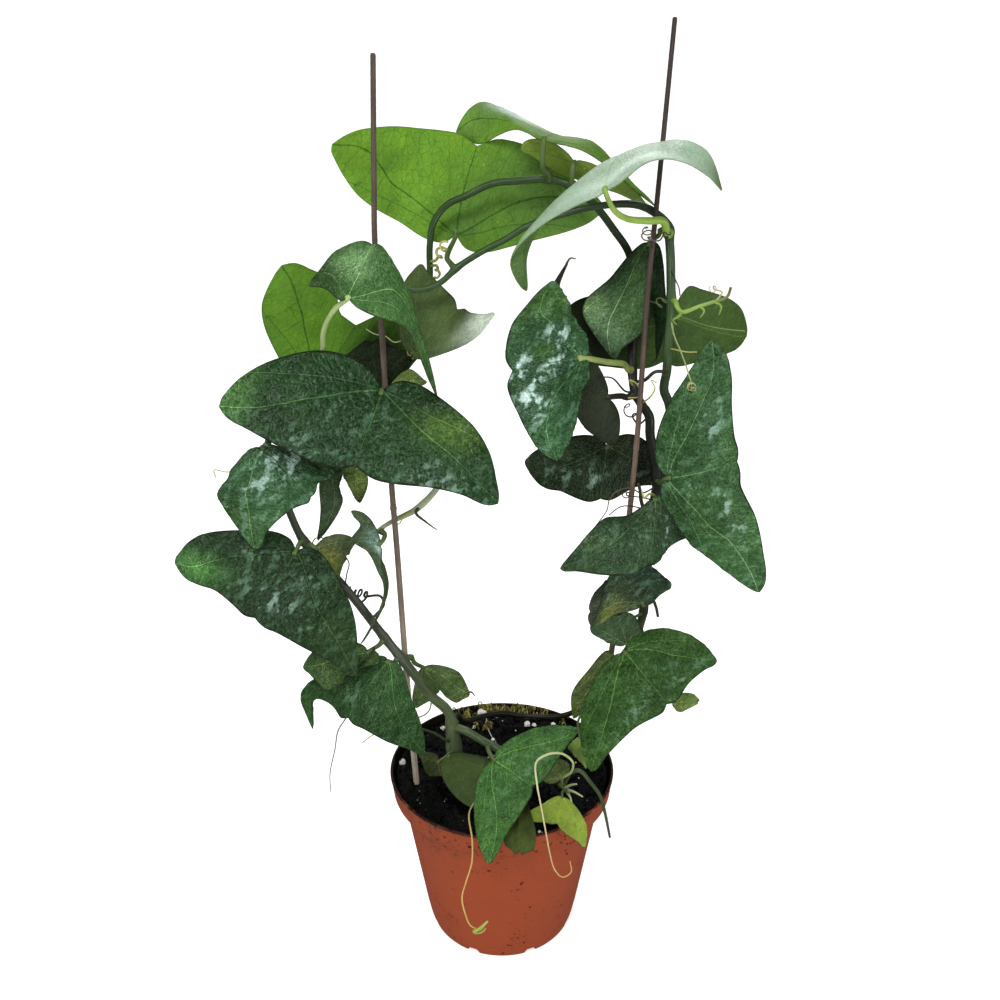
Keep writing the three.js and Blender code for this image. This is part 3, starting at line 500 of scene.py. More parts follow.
@dataclass(frozen=True)
class LeafPattern:
    """The flat leaf: one unit from the petiole to a lobe's tip, with the notch at the top."""

    basal: tuple = (
        (0, 0), (0.1, -0.09), (0.27, -0.12), (0.46, -0.07), (0.68, 0.07), (0.82, 0.22), (0.895, 0.37),
        (0.905, 0.44),
    )
    apical: tuple = (
        (0, 0.49), (0.13, 0.53), (0.27, 0.52), (0.49, 0.48), (0.72, 0.455), (0.85, 0.463), (0.905, 0.44),
    )
    spots: dict = field(
        default_factory=lambda: {
            "base": (0, 0), "mid": (0, 0.25), "notch": (0, 0.49), "Tip": (0.905, 0.44),
            "Shoulder": (0.42, -0.085), "End": (0.82, 0.22), "Edge": (0.8, 0.46), "Belly": (0.49, 0.48),
            "Brow": (0.2, 0.525), "Neck": (0.2, -0.11), "Vein": (0.45, 0.2),
        }
    )
    tip_crowding: float = 1.35
    edge_crowding: float = 0.7

    def spot(self, name: str) -> tuple[float, float]:
        """Finds a named spot; left and right mirror it.

        Args:
            name: a spot's name, with left or right before it for one on a lobe.

        Returns:
            Its pattern place.
        """
        if name in self.spots:
            return self.spots[name]
        side = -1.0 if name.startswith("left") else 1.0
        x, y = self.spots[name.removeprefix("left").removeprefix("right")]
        return side * x, y

    def places(self, along: np.ndarray, across: np.ndarray) -> np.ndarray:
        """Lays grid shares out on the pattern, close together at the tips and the margins.

        Args:
            along: shares from the left lobe's tip to the right one's.
            across: shares from the basal margin to the apical one.

        Returns:
            Pattern places.
        """
        lobe = along * 2.0 - 1.0
        reach = (1.0 - (1.0 - np.abs(lobe)) ** self.tip_crowding) * MARGIN_STEPS
        share = across - self.edge_crowding * np.sin(TURN * across) / TURN
        steps = np.arange(MARGIN_STEPS + 1)
        bottom = walk(spread_margin(self.basal), steps, reach)
        top = walk(spread_margin(self.apical), steps, reach)
        spots = bottom + (top - bottom) * share[:, None]
        spots[:, 0] *= np.where(lobe < 0, -1.0, 1.0)
        return spots


LEAF = LeafPattern()


class Plate:
    """The smoothest plate that carries the flat pattern's named spots onto a leaf's marks."""

    def __init__(self, marks: dict[str, Mark]) -> None:
        """Solves the plate for a leaf.

        Args:
            marks: the leaf's marks by the names of their spots.
        """
        self.spots = np.array([LEAF.spot(name) for name in marks], float)
        count = len(self.spots)
        edge = np.hstack([np.ones((count, 1)), self.spots])
        matrix = np.block([[self.bend(self.spots), edge], [edge.T, np.zeros((3, 3))]])
        goals = np.vstack([SIGHT.seen(list(marks.values())), np.zeros((3, 3))])
        self.weights = np.linalg.solve(matrix, goals)

    def bend(self, places: np.ndarray) -> np.ndarray:
        """Works out the plate's bending terms between places and spots."""
        square = ((places[:, None, :] - self.spots[None, :, :]) ** 2).sum(axis=-1)
        return 0.5 * square * np.log(np.maximum(square, 1e-12))

    def at(self, places: np.ndarray) -> np.ndarray:
        """Carries pattern places into space."""
        terms = np.hstack([self.bend(places), np.ones((len(places), 1)), places])
        return terms @ self.weights

    def normals(self, places: np.ndarray, small: float = 0.01) -> np.ndarray:
        """Gives the plate's outward directions, on the side that the pattern is drawn on.

        Args:
            places: pattern places.
            small: the distance in pattern units over which the slope is measured.

        Returns:
            One direction for each place.
        """
        right = self.at(places + (small, 0.0)) - self.at(places - (small, 0.0))
        up = self.at(places + (0.0, small)) - self.at(places - (0.0, small))
        return unit(np.cross(right, up))


class Face(Enum):
    """The face of a leaf that the eye sees."""

    UPPER = "upper"
    UNDER = "under"


@dataclass(frozen=True)
class Bloom:
    """A patch of a blade, in pattern places, with a tint and a share of painted glints; some tints are the
    leaf's own colour, others are painted shade or painted highlights.
    """

    at: tuple[float, float]
    reach: tuple[float, float]
    tint: Rgb | None = None
    painted_glint: float = 0.0

    def share(self, places: np.ndarray) -> np.ndarray:
        """Gives how strongly the patch shows at pattern places."""
        offset = (places - self.at) / self.reach
        return np.exp(-((offset**2).sum(axis=-1)))

    def paint(self, tints: np.ndarray, places: np.ndarray) -> np.ndarray:
        """Mixes the patch into a blade's tints.

        Args:
            tints: linear red, green, blue and share of painted glints for each vertex.
            places: the vertices' pattern places.

        Returns:
            The changed tints.
        """
        share = self.share(places)
        painted = tints.copy()
        if self.tint is not None:
            stain(painted, self.tint, share)
        # the fourth channel is the share of painted glints, pale highlights put into the colour
        painted[:, 3] = np.maximum(painted[:, 3], self.painted_glint * share)
        return painted


@dataclass(frozen=True)
class Leaf:
    """One leaf: where its petiole leaves a stem, where its blade lies and how it is coloured."""

    name: str
    stem: str
    root: Mark
    marks: dict[str, Mark]
    upper: Rgb
    under: Rgb
    face: Face = Face.UPPER
    # lit leaves have painted backlight: bright under tints and edges, with the backlit finish's dark veins
    lit: bool = False
    # a leaf with this flag gets the pale finish; its pale tint is a painted reflection
    silvery: bool = False
    knees: tuple[Mark, ...] = ()
    petiole: float = 1.25
    slim: float = 0.78
    stalk: tuple[Rgb, ...] = ((70, 88, 46), (86, 108, 58))
    slot: str = "leaf_dark"
    grain: tuple[int, int] = (72, 26)
    blister: float = 0.3
    blooms: tuple[Bloom, ...] = ()
    # share of painted glints on the seen face
    painted_glint: float = 0.0
    edge: Rgb = (52, 44, 36)


@dataclass
class Curl:
    """A tendril: the marks that it passes, its colours and its thickness."""

    marks: Sequence[Mark]
    colours: tuple[Rgb, ...] = ((150, 158, 96), (176, 178, 120))
    radius: float = 0.42
    thin: float = 0.26


@dataclass(frozen=True)
class Twig:
    """A stub, a narrow leaf, a bud scale or a thick tendril that starts inside its stem."""

    marks: tuple[Mark, ...]
    widths: tuple[tuple[float, float], ...]
    colours: tuple[Rgb, ...] = ((150, 168, 104), (196, 208, 164))
    sides: int = 10
    step: float = 0.7
    ribs: int = 0
    rib_depth: float = 0.0

    def tube(self) -> Tube:
        """Routes the twig through its marks."""
        path = Path(SIGHT.seen(self.marks))
        return Tube(path, self.widths, self.colours, self.sides, self.step, self.ribs, self.rib_depth)


@dataclass
class Foliage:
    """All the leaves: blades of two welded shells on petioles that grow out of the stems."""

    stems: "Stems"
    half_thickness: float = 0.24
    margin_wave: float = 0.55
    wave_scale: float = 8.0
    blister_scale: float = 12.0
    full_span: float = 45.0
    full_wave_span: float = 50.0
    edge_share: float = 0.75
    inlet: tuple[float, float] = (0.0, 0.035)
    root_knot: tuple[float, float] = (0.5, 2.4)
    base_knot: tuple[float, float] = (0.35, 1.4)
    middle_spots: tuple = ((0.0, 0.2), (-0.4, 0.2), (0.4, 0.2))
    span_spots: tuple = ((-0.8, 0.3), (0.0, 0.1), (0.8, 0.3))
    span_units: float = 1.65
    seed: int = 11

    def petiole(self, leaf: Leaf, plate: Plate) -> Tube:
        """Routes a petiole from the middle of its stem into the blade's base.

        Args:
            leaf: the leaf.
            plate: its blade's plate.

        Returns:
            The petiole's tube.
        """
        base = SIGHT.seen([leaf.marks["base"]])[0]
        knees = SIGHT.seen(leaf.knees) if leaf.knees else np.zeros((0, 3))
        root = self.stems.root(leaf.stem, leaf.root, knees[0] if len(knees) else base)
        inward = plate.at(np.array([self.inlet]))[0]
        path = Path(np.vstack([root, knees, base, inward]))
        knots = ((0.0, *self.root_knot), (path.length, *self.base_knot))
        widths = taper(leaf.petiole, leaf.petiole * leaf.slim)
        return Tube(
            path, widths, leaf.stalk, step=1.2, ribs=3, rib_depth=0.06, knots=knots,
            material=STALK_SLOT,
        )

    def relief(self, leaf: Leaf, places: np.ndarray, span: float, phase: float) -> np.ndarray:
        """Works out how far the blade rises above its plate, in millimetres.

        Args:
            leaf: the leaf.
            places: pattern places.
            span: millimetres for one pattern unit.
            phase: a seeded shift of the waves and blisters.

        Returns:
            Heights along the upper face's normal.
        """
        reach = np.abs(places[:, 0])
        lateral = places[:, 1] - course(reach, *SIDE_VEIN)
        basal = places[:, 1] - course(reach, *LOW_VEIN)
        fade = ease(1.0, 0.35, reach)
        groove = bell(lateral, 0.022) * fade + bell(reach, 0.02) * 0.8 + bell(basal, 0.018) * 0.45 * fade
        sprig = np.abs(((reach - 0.55 * np.abs(lateral) + 0.02) / VEIN_SPACING) % 1.0 - 0.5) * 2.0
        groove += ease(0.80, 1.0, sprig) * 0.4 * ease(0.0, 0.06, np.abs(lateral))
        wide, small = self.wave_scale, self.blister_scale
        waves = np.array([noise.noise(Vector((x * wide + phase, y * wide, phase))) for x, y in places])
        gaps = []
        for (x, y), wave in zip(places, waves):
            near = noise.voronoi(Vector((x * small + phase, y * small, 0.5 * wave)))[0]
            gaps.append(near[1] - near[0])
        domes = ease(0.0, 0.55, np.array(gaps))
        strength = leaf.blister * min(1.0, span / self.full_span)
        return strength * (waves * 1.0 + domes * 0.75 - groove)

    def blade(self, leaf: Leaf, skin: Skin, plate: Plate) -> None:
        """Adds the blade: an upper and an under shell that meet along the margin.

        Args:
            leaf: the leaf.
            skin: the mesh.
            plate: the blade's plate.
        """
        chance = random.Random(f"{self.seed}-{leaf.name}")
        phase = chance.uniform(0.0, 50.0)
        middle = np.array(self.middle_spots)
        facing = plate.normals(middle) * unit(np.asarray(SIGHT.place) - plate.at(middle))
        side = 1.0 if (facing.sum() > 0) == (leaf.face is Face.UPPER) else -1.0
        span = lengths(plate.at(np.array(self.span_spots)))[-1] / self.span_units
        whole = []
        for offset, tint in ((side, leaf.upper), (-side, leaf.under)):
            verts, along, across = skin.sheet(*leaf.grain)
            whole += verts
            places = LEAF.places(along, across)
            margin = np.minimum(across, 1.0 - across) * leaf.grain[1]
            tips = (1.0 - np.abs(along * 2.0 - 1.0)) * leaf.grain[0] / 2.0
            inside = np.clip(np.minimum(margin, tips), 0.0, 1.0)
            rim = ease(2.2, 0.0, np.minimum(margin, tips * 1.5))
            normals = plate.normals(places)
            lobe = along * 2.0 - 1.0
            wave = np.sin(lobe * 9.0 + phase) * ease(0.25, 1.0, np.abs(across * 2.0 - 1.0))
            height = self.relief(leaf, places, span, phase) * side * inside
            waved = self.margin_wave * min(1.0, span / self.full_wave_span)
            height += wave * waved * ease(1.0, 0.75, np.abs(lobe))
            thick = self.half_thickness * inside * (1.0 if offset > 0 else -1.0)
            points = plate.at(places) + normals * (height + thick)[:, None]
            # the seen face's fourth tint channel holds the leaf's share of painted glints
            shine = leaf.painted_glint if offset == side else 0.0
            tints = np.tile(np.append(linear(tint), shine), (len(verts), 1))
            if offset == side or leaf.face is Face.UNDER:
                for bloom in leaf.blooms:
                    tints = bloom.paint(tints, places)
            stain(tints, leaf.edge, self.edge_share * rim)
            skin.lay(verts, points, tints, np.column_stack([places, rim]))
            faces = skin.faces_of(verts)
            for face in faces:
                face.material_index = 0 if offset == side else 1
            if offset < 0:
                bmesh.ops.reverse_faces(skin.mesh, faces=faces)
        skin.weld(whole)

    def grow(self, leaf: Leaf, finishes: "Finishes", curls: Iterable[Curl]) -> bpy.types.Object:
        """Makes one leaf and lets it stand for its solid.

        Args:
            leaf: the leaf.
            finishes: the plant's finishes.
            curls: the tendrils that grow from its petiole.

        Returns:
            The finished piece.
        """
        plate = Plate(leaf.marks)
        skin = Skin()
        self.blade(leaf, skin, plate)
        self.petiole(leaf, plate).add_to(skin)
        for curl in curls:
            self.stems.tendril(curl, material=STALK_SLOT).add_to(skin)
        # the backlit finish paints light shining through; the pale finish carries a painted reflection
        under = finishes.leaf_backlit if leaf.lit else finishes.leaf_under
        upper = finishes.leaf_silvery if leaf.silvery else finishes.leaf_upper
        piece = skin.finish(f"{leaf.name}_grown", [upper, under, finishes.skin])
        dress(piece, leaf.slot, leaf.name)
        return piece


@dataclass(frozen=True)
class Stem:
    """One stem: the marks that it climbs through, its thickness and its colours from root to tip."""

    name: str
    marks: tuple[Mark, ...]
    widths: tuple[tuple[float, float], ...]
    colours: tuple[Rgb, ...]
    parent: str = ""
    fork: Mark = (0.0, 0.0, 0.0)
    slot: str = "stem_dark"
    sides: int = 16


@dataclass
class Stems:
    """The plant's stems, from which its petioles and tendrils grow."""

    crown_column: float = 455.0
    crown_row: float = 757.0
    soil_top: float = 91.5
    root_gap: float = 0.4
    collar: float = 2.2
    swelling: float = 0.28
    swelling_reach: float = 2.6
    knot_radius: float = 1.6
    crown_depths: tuple[float, float] = (18.0, 6.0)
    paths: dict[str, Path] = field(default_factory=dict)
    widths: dict[str, tuple[tuple[float, float], ...]] = field(default_factory=dict)

    def crown(self) -> np.ndarray:
        """Gives the point where the plant leaves the peat."""
        return SIGHT.level(self.crown_column, self.crown_row, self.soil_top)

    def route(self, stem: Stem) -> None:
        """Works out one stem's path, once its parent's is known.

        Args:
            stem: the stem.
        """
        marks = SIGHT.seen(stem.marks)
        if stem.parent:
            lead = self.root(stem.parent, stem.fork, marks[0])
        else:
            lead = self.crown() - np.array([(0.0, 0.0, depth) for depth in self.crown_depths])
        self.paths[stem.name] = Path(np.vstack([lead, marks]))
        self.widths[stem.name] = stem.widths

    def root(self, stem: str, mark: Mark, towards: np.ndarray) -> np.ndarray:
        """Finds where a side growth starts inside its stem and how it leaves it.

        Args:
            stem: the stem's name.
            mark: the sighted place of the fork.
            towards: the growth's first point further out.

        Returns:
            The stem's middle, a point on its skin and a point just outside.
        """
        path = self.paths[stem]
        distance = path.nearest(SIGHT.seen([mark])[0])
        centre = path.at(np.array([distance]))[0]
        heading = path.heading(distance)
        out = towards - centre
        out = unit(out - heading * float(out @ heading))
        skin = float(width_at(self.widths[stem], distance / path.length)) + self.root_gap
        return np.stack([centre, centre + out * skin, centre + out * (skin + self.collar)])

    def tendril(self, curl: Curl, stem: str = "", material: int = 0) -> Tube:
        """Routes a tendril from its stem through its marks.

        Args:
            curl: the tendril.
            stem: the stem that it leaves, if it leaves one.
            material: the material slot of its faces.

        Returns:
            The tendril's tube.
        """
        marks = SIGHT.seen(curl.marks)
        if stem:
            lead = self.root(stem, curl.marks[0], marks[1])
            marks = np.vstack([lead[:1], marks[1:]])
        widths = taper(curl.radius, curl.thin)
        return Tube(Path(marks), widths, curl.colours, sides=6, step=0.7, material=material)

    def grow(
        self, stem: Stem, forks: Sequence[Mark], extras: Sequence[Tube], finish: bpy.types.Material,
    ) -> bpy.types.Object:
        """Makes one stem with its swollen knots, tendrils and scales.

        Args:
            stem: the stem.
            forks: the sighted places where leaves and shoots leave it.
            extras: tendrils, scales and stubs that belong to the same growth.
            finish: the stem's material.

        Returns:
            The finished piece.
        """
        path = self.paths[stem.name]
        places = [path.nearest(SIGHT.seen([mark])[0]) for mark in forks]
        knots = []
        for place in places:
            thick = float(width_at(stem.widths, place / path.length))
            swelling = self.swelling * min(1.0, self.knot_radius / thick) ** 2
            knots.append((place, swelling, self.swelling_reach))
        skin = Skin()
        grain = dict(step=1.5, ribs=5, rib_depth=0.07, rough=0.015)
        body = Tube(path, stem.widths, stem.colours, sides=stem.sides, knots=knots, **grain)
        for tube in (body, *extras):
            tube.add_to(skin)
        piece = skin.finish(f"{stem.name}_grown", [finish])
        dress(piece, stem.slot, stem.name)
        return piece


@dataclass(frozen=True)
class Stake:
    """A thin training stake: its foot in the peat, its marks and its joints."""

    name: str
    foot: tuple[float, float]
    buried: float
    marks: tuple[Mark, ...]
    colours: tuple[Rgb, ...]
    joints: tuple[Mark, ...] = ()
    foot_radius: float = 1.6
    top_radius: float = 1.0
    joint: tuple[float, float] = (0.22, 0.8)

    def build(self, soil_top: float, finish: bpy.types.Material) -> bpy.types.Object:
        """Makes the stake, leaning into the peat along its lowest stretch.

        Args:
            soil_top: the height of the peat's surface.
            finish: the stake's material.

        Returns:
            The finished piece.
        """
        marks = SIGHT.seen(self.marks)
        foot = SIGHT.level(*self.foot, soil_top)
        lean = unit(marks[0] - foot)
        path = Path(np.vstack([foot - lean * self.buried, foot, marks]))
        places = [path.nearest(SIGHT.seen([mark])[0]) for mark in self.joints]
        knots = [(place, *self.joint) for place in places]
        skin = Skin()
        widths = taper(self.foot_radius, self.top_radius)
        grain = dict(step=1.2, ribs=3, rib_depth=0.03, rough=0.02)
        Tube(path, widths, self.colours, sides=18, knots=knots, **grain).add_to(skin)
        piece = skin.finish(f"{self.name}_cane", [finish])
        dress(piece, "stake_wood", self.name)
        return piece


@dataclass
class Pot:
    """The moulded pot: a turned wall with a stepped collar and drain notches round its foot."""

    height: float = 95.0
    rim_radius: float = 60.0
    collar_radius: float = 58.4
    collar_height: float = 12.0
    body_radius: float = 53.4
    heel_radius: float = 42.4
    heel_height: float = 14.0
    foot_radius: float = 39.4
    wall: float = 1.5
    floor: float = 2.4
    notches: int = 8
    notch_width: float = 5.0
    notch_height: float = 3.0
    notch_depth: float = 4.0
    collar_step: float = 2.5
    sharp_angle: float = math.radians(38)
    bevel_angle: float = math.radians(32)
    weld_m: float = 1e-6
    sectors: int = 180
    edge: float = 0.35

    def profile(self) -> list[tuple[float, float]]:
        """Lists the corners of the wall's section, from under the foot up and back down inside.

        Returns:
            Radius and height of each corner.
        """
        foot, heel, body = self.foot_radius, self.heel_radius, self.body_radius
        collar, rim, top, wall = self.collar_radius, self.rim_radius, self.height, self.wall
        step = top - self.collar_height
        under = step - self.collar_step
        outside = [
            (0.0, 0.0), (foot - self.notch_depth, 0.0), (foot - 0.7, 0.0), (foot, 1.0),
            (foot + 0.75, 3.4), (foot + 1.3, 5.5), (foot + 2.1, 9.4), (heel, self.heel_height),
            (body, under), (collar - 0.4, step), (collar, step + 1.2), (rim - 0.4, top - 1.6),
            (rim, top - 0.8), (rim - 0.4, top),
        ]
        inside = [
            (rim - wall, top), (collar - wall, step + 2.2), (collar - wall - 0.6, step + 1.4),
            (body - wall, under + 1.2), (heel - wall, self.heel_height), (foot - wall, self.floor),
            (0.0, self.floor),
        ]
        return outside + inside

    def build(self, finish: bpy.types.Material) -> bpy.types.Object:
        """Turns the wall, lifts its foot at the notches and rounds its edges.

        Args:
            finish: the pot's plastic.

        Returns:
            The finished piece.
        """
        mesh = bmesh.new()
        ring = [mesh.verts.new((radius * MM, 0.0, height * MM)) for radius, height in self.profile()]
        for low, high in zip(ring, ring[1:]):
            mesh.edges.new((low, high))
        bmesh.ops.spin(
            mesh, geom=mesh.verts[:] + mesh.edges[:], axis=(0.0, 0.0, 1.0), cent=(0.0, 0.0, 0.0),
            angle=TURN, steps=self.sectors, use_merge=True,
        )
        bmesh.ops.remove_doubles(mesh, verts=mesh.verts, dist=self.weld_m)
        bmesh.ops.recalc_face_normals(mesh, faces=mesh.faces)
        self.cut_notches(mesh)
        piece = settle(mesh, "pot_moulded", [finish])
        piece.data.set_sharp_from_angle(angle=self.sharp_angle)
        bevel = piece.modifiers.new("rounded_edges", "BEVEL")
        bevel.width = self.edge * MM
        bevel.segments = 3
        bevel.limit_method = "ANGLE"
        bevel.angle_limit = self.bevel_angle
        bevel.harden_normals = False
        dress(piece, "pot_plastic", "pot")
        return piece

    def cut_notches(self, mesh: bmesh.types.BMesh) -> None:
        """Raises the foot's outer ring where a drain notch opens it.

        Args:
            mesh: the turned wall.
        """
        half = self.notch_width / 2.0 / self.foot_radius
        inner = (self.foot_radius - self.notch_depth + 0.5) * MM
        for vert in mesh.verts:
            radius = math.hypot(vert.co.x, vert.co.y)
            if radius < inner or vert.co.z > 1.5 * MM:
                continue
            turn = math.atan2(vert.co.y, vert.co.x) / TURN * self.notches
            off = abs((turn % 1.0) - 0.5) / self.notches * TURN
            if off <= half:
                vert.co.z = self.notch_height * MM - (0.2 * MM if radius < 39.0 * MM else 0.0)


@dataclass
class Peat:
    """The peat that fills the pot, with its crumbs, perlite and moss."""

    pot: Pot
    top: float = 91.5
    lump: float = 0.7
    clearance: float = 0.35
    rings: int = 70
    sectors: int = 220
    crumbs: int = 900
    rim_crumbs: int = 150
    crumb_inset: float = 1.5
    seed: int = 5

    def top_radius(self) -> float:
        """Gives the radius of the peat's surface."""
        return self.pot.collar_radius - self.pot.wall - self.clearance

    def surface(self, x: float, y: float) -> float:
        """Gives the height of the peat's surface.

        Args:
            x: the place across, in millimetres.
            y: the place in depth, in millimetres.

        Returns:
            The height in millimetres.
        """
        lumps = math.sin(x * 0.21 + 1.0) * math.cos(y * 0.17) + 0.6 * math.sin(x * 0.43 - y * 0.37)
        fine = noise.fractal(Vector((x * 0.33, y * 0.33, 2.0)), 0.9, 2.2, 4)
        near = noise.voronoi(Vector((x * 0.36, y * 0.36, 0.4 * fine)))[0]
        crumb = min((near[1] - near[0]) * 2.0, 1.0)
        return self.top - 0.3 + self.lump * lumps + 0.8 * fine + 0.9 * crumb

    def build(self, finish: bpy.types.Material) -> bpy.types.Object:
        """Makes the plug of peat, down to the pot's floor, with its crumbly top.

        Args:
            finish: the peat's material.

        Returns:
            The finished piece.
        """
        pot = self.pot
        inset = pot.wall + self.clearance
        collar_bottom = pot.height - pot.collar_height
        sides = [
            (0.0, pot.floor + self.clearance), (pot.foot_radius - inset, pot.floor + self.clearance),
            (pot.heel_radius - inset, pot.heel_height), (pot.body_radius - inset, collar_bottom - 0.5),
            (self.top_radius(), collar_bottom + 3.2),
        ]
        skin = Skin()
        verts, along, around = skin.sheet(self.rings + len(sides), self.sectors)
        stations = np.rint(along * (self.rings + len(sides))).astype(int)
        places = []
        for station, turn in zip(stations, around * TURN):
            if station < len(sides):
                radius, height = sides[station]
            else:
                radius = self.top_radius() * (1.0 - (station - len(sides)) / self.rings)
                height = self.surface(radius * math.cos(turn), radius * math.sin(turn))
            places.append((radius * math.cos(turn), radius * math.sin(turn), height))
        skin.lay(verts, np.array(places), np.zeros((len(verts), 4)), np.array(places))
        skin.weld(verts)
        bmesh.ops.recalc_face_normals(skin.mesh, faces=skin.mesh.faces)
        self.scatter(skin)
        piece = skin.finish("peat_fill", [finish])
        dress(piece, "peat", "soil")
        return piece

    def lump_at(self, skin: Skin, centre: np.ndarray, size: float, shade: float, fine: int = 1) -> None:
        """Adds one rough crumb around a point.

        Args:
            skin: the mesh.
            centre: the crumb's middle.
            size: its radius.
            shade: its grey tint.
            fine: how often its ball is subdivided.
        """
        made = bmesh.ops.create_icosphere(skin.mesh, subdivisions=fine, radius=size * MM)
        for vert in made["verts"]:
            rough = noise.noise(vert.co * (1.1 / (size * MM)) + Vector(centre))
            vert.co = vert.co * (1.0 + 0.55 * rough)
            vert.co.z *= 0.75
            vert.co += Vector(centre * MM)
            vert[skin.tint] = (shade, shade, shade, 0.0)
            vert[skin.pattern] = vert.co / MM

    def strew(self, chance: random.Random, inset: float) -> tuple[float, float]:
        """Draws a place on the peat.

        Args:
            chance: the seeded random source.
            inset: how far the place stays from the edge.

        Returns:
            The place's x and y.
        """
        radius = (self.top_radius() - inset) * math.sqrt(chance.random())
        turn = chance.uniform(0.0, TURN)
        return radius * math.cos(turn), radius * math.sin(turn)

    def seat(self, column: float, row: float, inset: float, lift: float) -> np.ndarray:
        """Finds the place on the peat that a pixel shows.

        Args:
            column: the pixel's column.
            row: its row.
            inset: how far the place stays from the edge.
            lift: how far it is lifted.

        Returns:
            The point in millimetres.
        """
        x, y, _ = SIGHT.level(column, row, self.top)
        radius, inner = math.hypot(x, y), self.top_radius() - inset
        if radius > inner:
            x, y = x * inner / radius, y * inner / radius
        return np.array([x, y, self.surface(x, y) + lift])

    def scatter(self, skin: Skin) -> None:
        """Strews crumbs over the peat and along the pot's rim.

        Args:
            skin: the peat's mesh.
        """
        chance = random.Random(self.seed)
        for _ in range(self.crumbs):
            x, y = self.strew(chance, self.crumb_inset)
            size = 0.4 + 1.3 * chance.random() ** 3
            centre = np.array([x, y, self.surface(x, y) + size * 0.2])
            self.lump_at(skin, centre, size, chance.uniform(0.0, 1.0))
        pot = self.pot
        for _ in range(self.rim_crumbs):
            turn = math.radians(chance.gauss(-95.0, 52.0))
            radius = pot.rim_radius - chance.uniform(0.5, 2.6)
            size = chance.uniform(0.25, 0.6)
            height = pot.height if radius > pot.rim_radius - pot.wall else pot.height - 2.0
            centre = np.array([radius * math.cos(turn), radius * math.sin(turn), height + size * 0.3])
            self.lump_at(skin, centre, size, chance.uniform(0.2, 1.0))


@dataclass
class Perlite:
    """White perlite grains in the peat: the large ones where they are seen, the small ones strewn."""

    peat: Peat
    seen_grains: tuple[tuple[float, float, float], ...] = (
        (481.0, 713.0, 2.7), (443.0, 729.0, 1.3), (399.0, 764.0, 1.7), (403.0, 761.0, 1.1),
        (527.0, 724.0, 1.8), (534.0, 725.0, 1.3), (553.0, 725.0, 1.4), (474.0, 727.0, 1.2),
        (493.0, 742.0, 1.1), (550.0, 852.0, 0.9),
    )
    strewn: int = 34
    inset: float = 3.0
    seed: int = 9

    def build(self, finish: bpy.types.Material) -> bpy.types.Object:
        """Makes the grains as one piece.

        Args:
            finish: the perlite's material.

        Returns:
            The finished piece.
        """
        skin = Skin()
        chance = random.Random(self.seed)
        for column, row, size in self.seen_grains:
            centre = self.peat.seat(column, row, size + 0.5, size * 0.35)
            self.peat.lump_at(skin, centre, size, 1.0, fine=3)
        for _ in range(self.strewn):
            x, y = self.peat.strew(chance, self.inset)
            size = chance.uniform(0.25, 0.6)
            centre = np.array([x, y, self.peat.surface(x, y) + size * 0.4])
            self.peat.lump_at(skin, centre, size, chance.uniform(0.6, 1.0), fine=2)
        piece = skin.finish("perlite_grains", [finish])
        dress(piece, "peat")
        return piece


